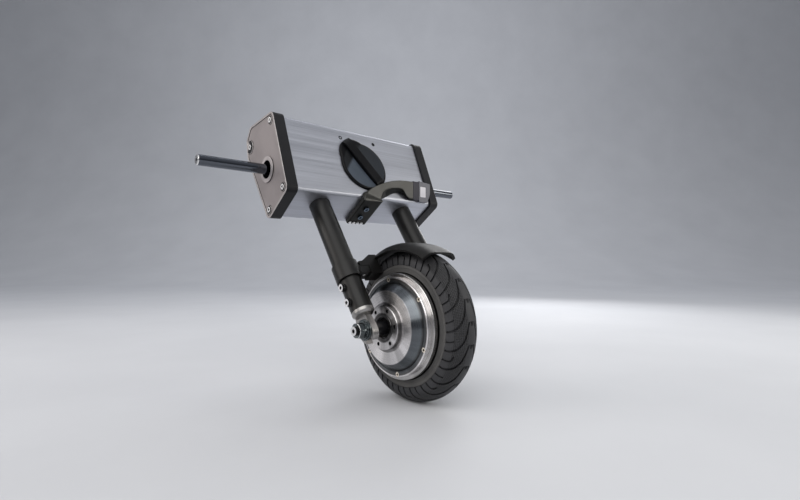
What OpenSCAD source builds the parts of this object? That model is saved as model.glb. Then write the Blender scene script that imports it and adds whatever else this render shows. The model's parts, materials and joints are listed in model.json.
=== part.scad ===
// Clip-on powered drive wheel for a wheelchair.
// One hub-motor wheel runs in a two-leg fork. The fork hangs from an extruded housing,
// and a knob on the housing draws two docking pins in and out through a double rack.
// X runs along the docking pins, Y to the back, Z up. The origin is the middle of the pin axis.

/* [Docking pins] */
// Diameter of the free end of each pin
pin_d = 15; // [12:0.5:18]
// Diameter of the pin's inner shank, which runs in its bush
pin_shank_d = 16.4; // [16:0.2:19]
// Distance from the middle of the unit to each pin's tip
pin_reach = 250; // [225:1:290]
// Radial running clearance of everything that slides or turns
run_gap = 0.05; // [0.03:0.01:0.09]

/* [Housing] */
// Half of the extrusion's length
housing_half = 131; // [122:1:145]
// Wall of the extrusion
wall = 3; // [2.5:0.25:4]
// Length of the front face, measured up the face
face_len = 123; // [116:1:130]
// Lean of the front face, measured from the fork legs
face_lean = 13.8; // [10:0.2:17]
// Distance from the pin axis to the housing's lower face, along the legs
foot_level = 60.5; // [57:0.5:64]
// Distance from the leg axis to the housing's front corner
foot_front = 27; // [25:0.5:30]
// Distance from the leg axis to the housing's back wall
foot_back = 37; // [36:0.5:41]
// Radius of the extrusion's long corners
housing_round = 6; // [3:0.5:8]
// Thickness of each end cap
cap_t = 18; // [15:0.5:24]
// Height by which an end cap stands proud of the extrusion all round
cap_proud = 3.5; // [1.5:0.25:5]
// Thickness of the seal under each end cap
seal_t = 0.8; // [0.5:0.1:1.5]
// Distance of each end screw from the two faces that meet beside it
screw_inset = 8; // [7:0.25:9]

/* [Fork] */
// Distance from the middle to each leg
leg_x = 82; // [78:0.5:92]
// Lean of the legs from the vertical
leg_tilt = 35.3; // [25:0.1:45]
// Distance from the pin axis down the legs to the wheel axle
fork_reach = 271.5; // [260:0.5:300]
// Distance of the axle behind the leg axis
fork_rake = 3.8; // [0:0.1:6]
// Outer diameter of the upper leg tube
leg_d = 32; // [31:0.5:34]
// Wall of the upper leg tube
leg_wall = 1.4; // [1.2:0.1:1.6]
// Wall of the lower leg tube
lower_wall = 2.5; // [2:0.1:3]
// Outer diameter of the fender clamp round each leg
clamp_d = 37.5; // [37:0.5:42]
// Length of the fender clamp along the leg
clamp_len = 24.5; // [22:0.5:30]
// Thickness of the tongue that holds the axle
tongue_t = 10; // [8:0.5:12]

/* [Wheel] */
// Outer diameter of the tyre
tyre_d = 215; // [208:1:217]
// Width of the tyre
tyre_w = 49; // [46:0.5:52]
// Diameter of the polished rim flange
rim_d = 146; // [144:0.5:150]
// Width over the two rim flanges
rim_w = 66; // [64:0.5:68]
// Distance from the wheel's middle to the ring of cover screws
cover_ring_x = 39.3; // [38:0.1:41]
// Pitch radius of the cover screws
cover_screw_r = 64.2; // [63.5:0.1:64.6]
// Number of screws in each hub cover
cover_screws = 6; // [5:1:8]
// Diameter of the axle
axle_d = 12; // [10:0.5:12]
// Distance from the wheel's middle to each end of the axle
axle_half = 105.5; // [104:0.5:110]

/* [Fender] */
// Gap between the tyre and the fender
fender_gap = 5; // [4:0.5:8]
// Thickness of the fender
fender_t = 3; // [2:0.25:4]
// Width of the fender
fender_w = 64; // [60:1:68]
// Angle from the legs to the fender's front tip
fender_front = 64; // [50:1:75]
// Angle from the legs to the fender's back edge
fender_back = 14; // [12:1:20]

/* [Knob] */
// Diameter of the knob's disc
knob_d = 87; // [80:1:90]
// Distance of the knob's centre up the front face
knob_s = 57; // [55:0.5:60]
// Height of the grip above the front face
knob_h = 8.5; // [8:0.25:12]
// Width of the knob's grip bar
grip_w = 17.5; // [15:0.5:20]
// Reach of the knob's nose from its centre
nose_r = 52; // [50:0.5:54]
// Turn from pins out to pins in
knob_turn = 69; // [50:1:72]
// Tooth size (module) of the pinion and the racks
tooth_m = 3; // [3:0.5:3]
// Number of teeth on the pinion
pinion_teeth = 22; // [20:1:22]

/* [Connector arm] */
// Width of the arm's foot strap
strap_w = 37; // [32:0.5:42]
// Thickness of the foot strap
strap_t = 8.5; // [7:0.5:11]
// Distance of the arm's upright front from the housing's front corner
arm_front = 4; // [3.5:0.25:7]
// Length of the plug block
plug_t = 14; // [11:0.5:17]
// Length of the connector shell
connector_len = 26.5; // [20:0.5:30]

/* [Hidden] */
fn_round = 96;
fn_small = 32;
seat_gap = 0.3;

function unit(v) = v / norm(v);
function turned(v) = [v[1], -v[0]];
// Corner i of a closed outline, moved out by d square to both edges that meet there.
function moved_corner(p, i, d) =
  let (n = len(p), a = p[(i + n - 1) % n], b = p[i], c = p[(i + 1) % n],
       n1 = turned(unit(b - a)), n2 = turned(unit(c - b)))
  b + d * (n1 + n2) / (1 + n1 * n2);
function grown(p, d) = [for (i = [0:len(p) - 1]) moved_corner(p, i, d)];
// The outline with each corner replaced by an arc of radius r in k steps.
function rounded(p, r, k = 6) = [
  for (i = [0:len(p) - 1])
    let (n = len(p), b = p[i], u = unit(p[(i + n - 1) % n] - b), v = unit(p[(i + 1) % n] - b),
         half = acos(u * v) / 2, m = b + unit(u + v) * r / sin(half),
         start = b + u * r / tan(half) - m, a0 = atan2(start[1], start[0]))
    for (j = [0:k]) m + r * [cos(a0 + (180 - 2 * half) * j / k), sin(a0 + (180 - 2 * half) * j / k)]
];

// Housing outline in the leg frame: [back, up the legs], counterclockwise seen from +X.
face_dir = [-sin(face_lean), cos(face_lean)];
face_out = [-cos(face_lean), -sin(face_lean)];
front_corner = [-foot_front, -foot_level];
top_corner = front_corner + face_len * face_dir;
shoulder_up = 62;
crest_back = 12;
crest_drop = 7;
outline = [
  front_corner,
  [foot_back, -foot_level],
  [foot_back, shoulder_up],
  [foot_back - crest_back, shoulder_up + 2 * crest_back],
  [foot_back - crest_back - 19, shoulder_up + 2 * crest_back + crest_drop],
  top_corner
];
cap_round = housing_round + cap_proud;
end_screw_r = 2.5;
end_head_r = 4.25;
end_head_h = 4;
cap_boss_r = 10.5;
back_screw = (outline[2] + outline[3]) / 2 + [-7, -3];
screw_spots = [
  moved_corner(outline, 0, -screw_inset),
  moved_corner(outline, 1, -screw_inset),
  back_screw,
  moved_corner(outline, 5, -screw_inset)
];
channel_r = 5.2;
nut_plate_front = screw_spots[0][0] + channel_r + seat_gap;

cap_in = housing_half + seal_t;
cap_out = cap_in + cap_t;
panel_deep = 1.2;
rim_t = 3;

pin_r = pin_d / 2;
shank_r = pin_shank_d / 2;
bush_flange_r = 19.5;
bush_body_r = 16;
bush_recess_r = 13;
bush_recess = 8;
bush_proud = 1.2;
bush_tail = 6;
shank_end = cap_out + bush_proud - bush_recess - 0.5;

// Where the pin axis lies in the front face's own frame: [up the face, out of it].
pin_s = -front_corner * face_dir;
pin_n = -front_corner * face_out;

pitch_r = tooth_m * pinion_teeth / 2;
backlash = 0.3;
gear_n = -22;
gear_t = 8;
plate_n = gear_n - 3;
plate_gap = 0.4;
rack_bar = 6.5;
socket_half = 24;
carrier_t = 10;
carrier_x = leg_x - socket_half - 0.5 - carrier_t;
carrier_n = plate_n - 2.4;
carrier_back = pin_n - 9;
carrier_foot = 17;
carrier_eye = 13;
carrier_screw_x = [carrier_x + 2.6, carrier_x + carrier_t - 2.6];
rack_root = 1.25 * tooth_m;
rack_mid = pitch_r + rack_root + rack_bar / 2;
rack_out = pitch_r + rack_root + rack_bar;
rack_start = -12;
rack_last = floor((carrier_x + carrier_t) / (PI * tooth_m));
pin_up = pin_s - knob_s;
spindle_r = 6;
bush_r = 9;
clip_t = 1;
post_x = 41;
post_s = 17;

knob_r = knob_d / 2;
nose_turn = knob_turn / 2;
disc_edge = 1;
disc_h = 3.6;
disc_flank = 5.2;
dish_r = knob_r - disc_flank;
dish_floor = 2;
bulge_r = 31;
grip_top = knob_h - seat_gap;
grip_edge = 1;
grip_low = knob_r - 4;
nose_flat = nose_r - 14;
nose_low = 3.2;
knob_bore = 6;
flange_t = 1;
flange_r = bush_r + 1.5;
board_half = 95;
board_low = 20;
board_h = 44;

leg_r = leg_d / 2;
spigot_r = leg_r - leg_wall - 0.1;
lower_r = leg_r - 0.5;
leg_top = -pin_shank_d / 2 - 8.5;
clamp_r = clamp_d / 2;
clamp_low = -fork_reach + 74;
upper_low = clamp_low + 4;
spigot_top = clamp_low + 47;
lower_end = -fork_reach + 26;
collar_h = 4;
collar_chamfer = 3;
neck = lower_end - collar_h - collar_chamfer;
tongue_r = 14;
tongue_drop = 5;
socket_top = shank_r + 5;
socket_front = 21;
bolt_level = leg_top - 18;
front_notch = screw_spots[0][0] + channel_r + seat_gap;
back_notch = screw_spots[1][0] - channel_r - seat_gap;
notch_top = screw_spots[0][1] + channel_r + seat_gap;
leg_screw_levels = [-fork_reach + 63, -fork_reach + 40];
leg_screw_r = 3;
leg_head_r = 5;
leg_head_h = 3.5;
ferrule_r = 5.6;
ferrule_out = 1.4;
plug_r = spigot_r - lower_wall;
plug_len = 47;
tongue_w = 20.8;
lug_in = leg_x - 34;
lug_low = clamp_low + 8;
lug_h = 11;
lug_top = lug_low + lug_h;
lug_half = 9.5;
lug_screw_x = leg_x - 27;
lug_screw_r = 2.5;
lug_head_r = 4.25;
pad_t = 3.5;

axle_r = axle_d / 2;
axle_y = fork_rake * cos(leg_tilt) - fork_reach * sin(leg_tilt);
axle_z = -fork_rake * sin(leg_tilt) - fork_reach * cos(leg_tilt);
tyre_r = tyre_d / 2;
fender_r = tyre_r + fender_gap;
fender_half = fender_w / 2;
wing_low = lug_low - 2.5;
wing_top = -fork_reach + fender_r - 1;
wing_in = tyre_w / 2 + 3;
wing_step = lug_in - 0.5;
wing_out = leg_x - clamp_r - 0.5;
wing_peak = fender_half + 8;
wing_half = lug_half + 0.5;
skirt = 10;
function crown(x, r) = r - skirt * pow(abs(x) / fender_half, 5);
function reversed(p) = [for (i = [len(p) - 1:-1:0]) p[i]];
fender_x = [for (i = [-8:8]) fender_half * sin(i * 90 / 8)];
rim_r = rim_d / 2;
bearing_r = 14;
bearing_w = 8;
boss_x = 57;
boss_r = 30;
boss_hole_r = 2.6;
boss_hole_ring = 24.3;
boss_hole_turn = 21.5;
disc_x = 51;
bearing_x = boss_x - 4 - bearing_w;
tongue_in = leg_x - tongue_t / 2;
tongue_out = leg_x + tongue_t / 2;
big_washer_t = 2;
small_washer_t = 2.5;
nut_h = 10;
nut_flats = 19;
nut_x = tongue_out + big_washer_t + small_washer_t;
centre_r = 9;
cover_r = rim_r - 5.2;
cover_turn = -8.33;
cover_in = rim_w / 2;
seat_r = rim_r - 6.5;
can_r = seat_r - 6.5;
magnet_t = 3;
air_gap = 0.5;
stator_r = can_r - magnet_t - air_gap;
stator_teeth = 18;
magnets = 20;
stator_half = 16;

arm_screw_r = 3;
arm_head_r = 4.5;
arm_head_h = 2.5;
arm_screw_x = -3.5;
arm_screw_spots = [-foot_front + 17.6, -foot_front + 37.5];
strap_half = strap_w / 2;
strap_end = 56;
stud_x = [for (i = [-1.5:1.5]) arm_screw_x + i * 7.6];
stud_s = 52.8;
arm_steps = 4;
arm_round = 2.4;
lean = leg_tilt - face_lean;
under_knob = knob_s - knob_r;
shell_end = housing_half - 3;
shell_start = shell_end - connector_len;
arm_end = shell_start - plug_t;
plug_low = 3.8;
plug_high = 36.3;
connector_proud = 0.5;
shell_low = 2.1;
shell_high = 37.6;
jack_s = 24;
jack_n = (front_n(jack_s) + seat_gap) / 2;
jack_r = 5.4;
jack_deep = 10;
contact_ring = 4.3;
contact_r = 0.7;

// Involute tooth: half of its angle at radius r.
pressure = 20;
base_r = pitch_r * cos(pressure);
function inv(a) = tan(a) * 180 / PI - a;
function tooth_half(r) =
  90 / pinion_teeth - backlash / 4 / pitch_r * 180 / PI + inv(pressure) - inv(acos(min(1, base_r / r)));
tooth_radii = [
  pitch_r - rack_root, base_r, pitch_r - 0.2 * tooth_m, pitch_r + 0.4 * tooth_m, pitch_r + tooth_m
];
function flank(centre, side, radii) =
  [for (r = radii) r * [cos(centre + side * tooth_half(r)), sin(centre + side * tooth_half(r))]];
pinion_points = [
  for (i = [0:pinion_teeth - 1])
    let (a = 90 + i * 360 / pinion_teeth)
      each concat(flank(a, -1, tooth_radii), flank(a, 1, reversed(tooth_radii)))
];
module in_leg_frame() rotate([-leg_tilt, 0, 0]) children();
module on_face(s = 0, n = 0)
  in_leg_frame()
    translate([0, front_corner[0], front_corner[1]])
      rotate([90 + face_lean, 0, 0])
        translate([0, s, n]) children();
module along_x(x0, length) translate([x0, 0, 0]) rotate([90, 0, 90]) linear_extrude(length) children();
module x_rod(x0, x1, r, fn = fn_round)
  translate([min(x0, x1), 0, 0]) rotate([0, 90, 0]) cylinder(h = abs(x1 - x0), r = r, $fn = fn);
module x_turned() rotate([0, 90, 0]) rotate_extrude($fn = fn_round) children();
module right_or_left(side) { if (side > 0) children(); else mirror([1, 0, 0]) children(); }
module at_axle() translate([0, axle_y, axle_z]) children();
module socket_screw(head_r, head_h, r, length, key) {
  difference() {
    cylinder(h = head_h, r = head_r, $fn = fn_small);
    translate([0, 0, head_h * 0.4]) cylinder(h = head_h, r = key, $fn = 6);
  }
  translate([0, 0, -length]) cylinder(h = length, r = r, $fn = fn_small);
}

module housing() color("silver") in_leg_frame() difference() {
  union() {
    difference() {
      along_x(-housing_half, 2 * housing_half) polygon(rounded(outline, housing_round));
      along_x(-housing_half - 1, 2 * housing_half + 2)
        polygon(rounded(grown(outline, -wall), housing_round - wall / 2));
    }
    intersection() {
      along_x(-housing_half, 2 * housing_half) polygon(rounded(outline, housing_round));
      for (p = screw_spots) translate([0, p[0], p[1]])
        x_rod(-housing_half, housing_half, channel_r, fn_small);
    }
  }
  for (p = screw_spots, side = [-1, 1])
    translate([0, p[0], p[1]])
      x_rod(side * (housing_half - 16), side * (housing_half + 1), end_screw_r + run_gap, fn_small);
  for (side = [-1, 1])
    translate([side * leg_x, 0, -foot_level - 1])
      cylinder(h = foot_level + leg_top, r = leg_r + run_gap, $fn = fn_round);
  translate([0, front_corner[0], front_corner[1]]) rotate([90 + face_lean, 0, 0])
    translate([0, knob_s, -wall - 1]) cylinder(h = wall + 2, r = bush_r + run_gap, $fn = fn_round);
  for (p = arm_screw_spots) translate([arm_screw_x, p, -foot_level - 1])
    cylinder(h = wall + 2, r = arm_screw_r + run_gap, $fn = fn_small);
}

module cap_outline(d) polygon(rounded(grown(outline, cap_proud - d), cap_round - d));
module end_cap(side) color("dimgray") right_or_left(side) in_leg_frame() difference() {
  union() {
    along_x(cap_in, cap_t - panel_deep) cap_outline(0);
    along_x(cap_in, cap_t) difference() { cap_outline(0); cap_outline(rim_t); }
    translate([0, back_screw[0], back_screw[1]]) x_rod(cap_in, cap_out, cap_boss_r);
    for (p = screw_spots) translate([0, p[0], p[1]]) x_rod(cap_in, cap_out - 0.2, 6.5, fn_small);
  }
  for (p = screw_spots) translate([0, p[0], p[1]]) {
    x_rod(cap_in - 1, cap_out, end_screw_r + run_gap, fn_small);
    x_rod(cap_out - end_head_h + 0.8, cap_out + 1, end_head_r + 0.4, fn_small);
  }
  x_rod(cap_in - 1, cap_out + 1, bush_body_r + run_gap);
  along_x(cap_in - 1, cap_t * 0.6 + 1) difference() {
    polygon(rounded(grown(outline, -4), 3));
    circle(r = bush_body_r + 5, $fn = fn_small);
    for (p = screw_spots) translate(p) circle(r = 8, $fn = fn_small);
  }
}
module end_cap_left() end_cap(-1);
module end_cap_right() end_cap(1);

module cap_seal(side) color("black") right_or_left(side) in_leg_frame()
along_x(housing_half, seal_t) difference() {
  polygon(rounded(outline, housing_round));
  difference() {
    polygon(rounded(grown(outline, -wall), housing_round - wall / 2));
    for (p = screw_spots) translate(p) circle(r = channel_r, $fn = fn_small);
  }
  for (p = screw_spots) translate(p) circle(r = end_screw_r + run_gap, $fn = fn_small);
}
module cap_seal_left() cap_seal(-1);
module cap_seal_right() cap_seal(1);

module end_screws(side) color("silver") right_or_left(side) in_leg_frame()
  for (p = screw_spots) translate([cap_out - end_head_h + 0.8, p[0], p[1]]) rotate([0, 90, 0])
    socket_screw(end_head_r, end_head_h, end_screw_r, cap_t + 8, 2);
module end_screws_left() end_screws(-1);
module end_screws_right() end_screws(1);

// The bush guides the pin and shows outside as a raised ring with a deep recess in it.
module pin_bush(side) color("dimgray") right_or_left(side) difference() {
  union() {
    x_rod(cap_in - bush_tail, cap_out - panel_deep, bush_body_r);
    x_rod(cap_out - panel_deep, cap_out + bush_proud, bush_flange_r);
  }
  x_rod(cap_in - bush_tail - 1, cap_out + 2, shank_r + run_gap);
  x_rod(cap_out + bush_proud - bush_recess, cap_out + 2, bush_recess_r);
}
module pin_bush_left() pin_bush(-1);
module pin_bush_right() pin_bush(1);

module docking_pin(side) color("gainsboro") right_or_left(side) difference() {
  x_turned() polygon([
    [0, carrier_x], [shank_r, carrier_x], [shank_r, shank_end], [pin_r, shank_end + 0.4],
    [pin_r, pin_reach - 1.3], [pin_r - 1.3, pin_reach], [0, pin_reach]
  ]);
  x_rod(pin_reach - 6, pin_reach + 1, 2, fn_small);
  on_face(pin_s, pin_n) translate([carrier_x + carrier_t / 2, 0, 0])
    cylinder(h = pin_shank_d + 2, r = 2, center = true, $fn = fn_small);
}
module docking_pin_left() docking_pin(-1);
module docking_pin_right() docking_pin(1);

module drive_pinion() color("darkgray") on_face(knob_s, gear_n + plate_gap) difference() {
  linear_extrude(gear_t - plate_gap) polygon(pinion_points);
  translate([0, 0, -1]) cylinder(h = gear_t + 2, r = spindle_r, $fn = fn_round);
  for (i = [0:5]) rotate(i * 60 + 30) translate([pitch_r * 0.56, 0, -1])
    cylinder(h = gear_t + 2, r = 5, $fn = fn_small);
}
module below_or_above(side) { if (side > 0) children(); else mirror([0, 1, 0]) children(); }
module rack_teeth() {
  half = PI * tooth_m / 4 - backlash / 4;
  slope = tan(pressure) * tooth_m;
  for (i = [0:rack_last]) translate([(i - 0.5) * PI * tooth_m, 0]) polygon([
    [-half - 1.25 * slope, -rack_root - 0.1], [half + 1.25 * slope, -rack_root - 0.1],
    [half - slope, tooth_m], [-half + slope, tooth_m]
  ]);
}
// A rack lies below the pinion for the right pin and above it for the left pin.
module pin_rack(side) color("gray")
on_face(knob_s, gear_n) right_or_left(side) below_or_above(side) difference() {
  linear_extrude(gear_t) translate([0, -pitch_r]) {
    rack_teeth();
    translate([rack_start, -rack_root - rack_bar]) square([carrier_x + carrier_t - rack_start, rack_bar]);
  }
  for (x = carrier_screw_x) translate([x, -rack_mid, -1]) {
    cylinder(h = gear_t + 2, r = 1.5, $fn = fn_small);
    translate([0, 0, gear_t - 1]) cylinder(h = 4, r = 2.2, $fn = fn_small);
  }
}
module pin_rack_left() pin_rack(-1);
module pin_rack_right() pin_rack(1);

// The carrier joins a rack to its pin behind the guide plate.
module carrier_web(side) {
  low = side > 0 ? -rack_out : rack_out - carrier_foot;
  web_low = side > 0 ? -rack_out : pin_up;
  web_high = side > 0 ? pin_up : rack_out;
  difference() {
    union() {
      translate([low, carrier_back]) square([carrier_foot, gear_n - carrier_back]);
      translate([web_low, carrier_back]) square([web_high - web_low, carrier_n - carrier_back]);
      translate([pin_up, pin_n]) circle(r = carrier_eye, $fn = fn_round);
    }
    translate([pin_up, pin_n]) circle(r = shank_r, $fn = fn_round);
  }
}
module pin_carrier(side) color("slategray") on_face(knob_s) right_or_left(side) difference() {
  translate([carrier_x, 0, 0]) rotate([90, 0, 90]) linear_extrude(carrier_t) carrier_web(side);
  for (x = carrier_screw_x) translate([x, -side * rack_mid, gear_n - 13])
    cylinder(h = 20, r = 1.5, $fn = fn_small);
  translate([carrier_x + carrier_t / 2, pin_up, pin_n])
    cylinder(h = 40, r = 2, center = true, $fn = fn_small);
}
module pin_carrier_left() pin_carrier(-1);
module pin_carrier_right() pin_carrier(1);
module carrier_screws(side) color("silver") on_face(knob_s) right_or_left(side) {
  for (x = carrier_screw_x) translate([x, -side * rack_mid, gear_n + gear_t - 2]) {
    cylinder(h = 1.8, r = 2.2, $fn = fn_small);
    translate([0, 0, -17]) cylinder(h = 17, r = 1.5, $fn = fn_small);
  }
  translate([carrier_x + carrier_t / 2, pin_up, pin_n])
    cylinder(h = 2 * carrier_eye - 1.4, r = 2, center = true, $fn = fn_small);
}
module carrier_screws_left() carrier_screws(-1);
module carrier_screws_right() carrier_screws(1);

// The knob is a dished disc that bulges into a nose, with a grip bar across it.
module knob_plate(r) rotate_extrude($fn = fn_round) polygon(concat(
  [[0, 0], [r, 0]],
  [for (a = [0:15:90]) [r - disc_flank * (1 - cos(a)), disc_edge + (disc_h - disc_edge) * sin(a)]],
  [[0, disc_h]]
));
module knob_dish() rotate_extrude($fn = fn_round) polygon(concat(
  [for (t = [0:0.125:1]) [t * dish_r, dish_floor + (disc_h - dish_floor) * pow(t, 3)]],
  [[dish_r, disc_h + 1], [0, disc_h + 1]]
));
// The bar is the plan, the side view and the cross-section in one.
module grip_bar() intersection() {
  linear_extrude(grip_top) {
    circle(r = grip_low, $fn = fn_round);
    translate([0, nose_r - bulge_r]) circle(r = bulge_r, $fn = fn_round);
  }
  along_x(-knob_d, 2 * knob_d) polygon(concat(
    [[-grip_low, 0], [nose_r, 0]],
    [for (a = [90:-15:0])
      [nose_flat + (nose_r - nose_flat) * sin(a), nose_low + (grip_top - nose_low) * cos(a)]],
    [[-grip_low + 6, grip_top], [-grip_low + 2, grip_top - 1.5], [-grip_low, disc_h]]
  ));
  rotate([90, 0, 0]) linear_extrude(2 * knob_d, center = true) polygon([
    [-grip_w / 2, 0], [grip_w / 2, 0], [grip_w / 2, grip_top - grip_edge], [grip_w / 2 - grip_edge, grip_top],
    [-grip_w / 2 + grip_edge, grip_top], [-grip_w / 2, grip_top - grip_edge]
  ]);
}
module knob() color("black") on_face(knob_s, seat_gap) rotate(nose_turn) difference() {
  union() {
    difference() {
      union() {
        knob_plate(knob_r);
        translate([0, nose_r - bulge_r, 0]) knob_plate(bulge_r);
      }
      knob_dish();
    }
    grip_bar();
  }
  translate([0, 0, -1]) cylinder(h = knob_bore + 1, r = spindle_r, $fn = fn_round);
  translate([0, 0, -1]) cylinder(h = flange_t + 1, r = flange_r + 0.5, $fn = fn_round);
}
module knob_spindle() color("gainsboro") on_face(knob_s)
  translate([0, 0, plate_n - clip_t - 0.9])
    cylinder(h = knob_bore - plate_n + clip_t + 0.9 + seat_gap, r = spindle_r, $fn = fn_round);
module spindle_bush() color("peru") on_face(knob_s) difference() {
  union() {
    translate([0, 0, -wall - 3]) cylinder(h = wall + 3, r = bush_r, $fn = fn_round);
    cylinder(h = flange_t, r = flange_r, $fn = fn_round);
  }
  translate([0, 0, -wall - 4]) cylinder(h = wall + 8, r = spindle_r + run_gap, $fn = fn_round);
}
module spindle_clip() color("silver") on_face(knob_s, plate_n - clip_t - seat_gap) difference() {
  cylinder(h = clip_t, r = spindle_r + 1.5, $fn = fn_round);
  translate([0, 0, -1]) cylinder(h = clip_t + 2, r = spindle_r, $fn = fn_round);
}
module guide_plate() color("gray") on_face(knob_s, plate_n) difference() {
  translate([-post_x - 5, -post_s - 7, 0]) cube([2 * post_x + 10, 2 * post_s + 14, 2.6]);
  translate([0, 0, -1]) cylinder(h = 6, r = spindle_r + run_gap, $fn = fn_round);
}
module guide_posts() color("silver") on_face(knob_s, plate_n + 2.6)
  for (x = [-post_x, post_x], s = [-post_s, post_s]) translate([x, s, 0])
    cylinder(h = -plate_n - 2.6 - wall, r = 3.5, $fn = fn_small);

// The motor controller stands on the back wall above the pins.
module controller_plate() color("lightgray") in_leg_frame()
  translate([-board_half, foot_back - wall - 4, board_low]) cube([2 * board_half, 4, board_h - 6]);
module controller_board() color("darkgreen") in_leg_frame() translate([0, foot_back - wall - 4, board_low]) {
  translate([-board_half + 4, -1.6, 3]) cube([2 * board_half - 8, 1.6, board_h - 12]);
  for (i = [0:5]) translate([-60 + i * 24, -1.6, 14]) rotate([90, 0, 0])
    cylinder(h = 9, r = 4, $fn = fn_small);
}

module leg_socket(side) color("lightgray") right_or_left(side) in_leg_frame() difference() {
  translate([leg_x - socket_half, -socket_front, -foot_level + wall])
    cube([2 * socket_half, socket_front + foot_back - wall, foot_level - wall + socket_top]);
  translate([leg_x - socket_half - 1, -socket_front - 1, -foot_level])
    cube([2 * socket_half + 2, front_notch + socket_front + 1, notch_top + foot_level]);
  translate([leg_x - socket_half - 1, back_notch, -foot_level])
    cube([2 * socket_half + 2, foot_back - back_notch, notch_top + foot_level]);
  translate([leg_x, 0, -foot_level]) cylinder(h = foot_level + leg_top, r = leg_r, $fn = fn_round);
  x_rod(leg_x - socket_half - 1, leg_x + socket_half + 1, shank_r + run_gap);
  translate([leg_x, 0, bolt_level]) rotate([90, 0, 0]) cylinder(h = 200, r = 3, center = true, $fn = fn_small);
}
module leg_socket_left() leg_socket(-1);
module leg_socket_right() leg_socket(1);
module socket_bolts() color("silver") for (side = [-1, 1]) right_or_left(side) in_leg_frame()
  translate([leg_x, -socket_front, bolt_level]) rotate([90, 0, 0])
    socket_screw(5, 5, 3, socket_front + foot_back - wall - 4, 2.5);

module upper_leg(side) color("black") right_or_left(side) in_leg_frame() difference() {
  translate([leg_x, 0, upper_low]) cylinder(h = leg_top - upper_low, r = leg_r, $fn = fn_round);
  translate([leg_x, 0, upper_low - 1])
    cylinder(h = leg_top - upper_low + 2, r = leg_r - leg_wall, $fn = fn_round);
  translate([leg_x, 0, bolt_level]) rotate([90, 0, 0])
    cylinder(h = 80, r = 3, center = true, $fn = fn_small);
}
module upper_leg_left() upper_leg(-1);
module upper_leg_right() upper_leg(1);

// The lower leg has a spigot in the upper one and holds the axle tongue with two screws.
module lower_leg(side) color("black") right_or_left(side) in_leg_frame() difference() {
  union() {
    translate([leg_x, 0, lower_end]) cylinder(h = upper_low - lower_end, r = lower_r, $fn = fn_round);
    translate([leg_x, 0, lower_end]) cylinder(h = spigot_top - lower_end, r = spigot_r, $fn = fn_round);
  }
  translate([leg_x, 0, lower_end - 1]) cylinder(h = spigot_top - lower_end + 2, r = plug_r, $fn = fn_round);
  for (z = leg_screw_levels) translate([leg_x, 0, z]) rotate([0, 90, 0])
    cylinder(h = 2 * leg_r, r = leg_screw_r, $fn = fn_small);
}
module lower_leg_left() lower_leg(-1);
module lower_leg_right() lower_leg(1);
module leg_screws(side) color("silver") right_or_left(side) in_leg_frame() for (z = leg_screw_levels) {
  translate([leg_x + lower_r + ferrule_out, 0, z]) rotate([0, 90, 0])
    socket_screw(leg_head_r, leg_head_h, leg_screw_r, lower_r + 8, leg_head_r / 2);
  difference() {
    translate([leg_x + lower_r - 1.6, 0, z]) rotate([0, 90, 0])
      cylinder(h = ferrule_out + 1.6, r = ferrule_r, $fn = fn_small);
    translate([leg_x, 0, z - 8]) cylinder(h = 16, r = lower_r, $fn = fn_round);
  }
}
module leg_screws_left() leg_screws(-1);
module leg_screws_right() leg_screws(1);

module tongue_outline() hull() {
  translate([fork_rake, -fork_reach]) circle(r = tongue_r, $fn = 48);
  translate([fork_rake, -fork_reach - tongue_drop]) circle(r = tongue_r, $fn = 48);
  translate([fork_rake - tongue_w / 2, neck - 1]) square([tongue_w, collar_h]);
}
module axle_tongue(side) color("gainsboro") right_or_left(side) in_leg_frame() difference() {
  union() {
    translate([leg_x, 0, neck + 1]) cylinder(h = lower_end - neck - 1 + plug_len, r = plug_r, $fn = fn_round);
    translate([leg_x, 0, lower_end - collar_h]) cylinder(h = collar_h, r = lower_r, $fn = fn_round);
    translate([leg_x, 0, neck])
      cylinder(h = collar_chamfer, r1 = lower_r - collar_chamfer, r2 = lower_r, $fn = fn_round);
    along_x(tongue_in, tongue_t) tongue_outline();
  }
  translate([0, fork_rake, -fork_reach]) x_rod(tongue_in - 1, tongue_out + 1, axle_r);
  translate([tongue_in - 1, fork_rake - axle_r, -fork_reach - 40]) cube([tongue_t + 2, axle_d, 40]);
  for (z = leg_screw_levels) translate([leg_x - 8, 0, z]) rotate([0, 90, 0])
    cylinder(h = 2 * leg_r, r = leg_screw_r, $fn = fn_small);
}
module axle_tongue_left() axle_tongue(-1);
module axle_tongue_right() axle_tongue(1);

module fender_clamp(side) color("black") right_or_left(side) in_leg_frame() difference() {
  union() {
    translate([leg_x, 0, clamp_low]) cylinder(h = clamp_len, r = clamp_r, $fn = fn_round);
    translate([lug_in, -lug_half, lug_low]) cube([leg_x - lug_in, 2 * lug_half, lug_h]);
  }
  translate([leg_x, 0, clamp_low - 1]) cylinder(h = clamp_len + 2, r = leg_r, $fn = fn_round);
  translate([lug_screw_x, 0, lug_low - 1]) cylinder(h = lug_h + 2, r = lug_screw_r, $fn = fn_small);
}
module fender_clamp_left() fender_clamp(-1);
module fender_clamp_right() fender_clamp(1);
module clamp_screws() color("silver") for (side = [-1, 1]) right_or_left(side) in_leg_frame()
  translate([lug_screw_x, 0, lug_top + pad_t])
    socket_screw(lug_head_r, 4, lug_screw_r, lug_h + pad_t - 0.5, 2);

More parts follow.
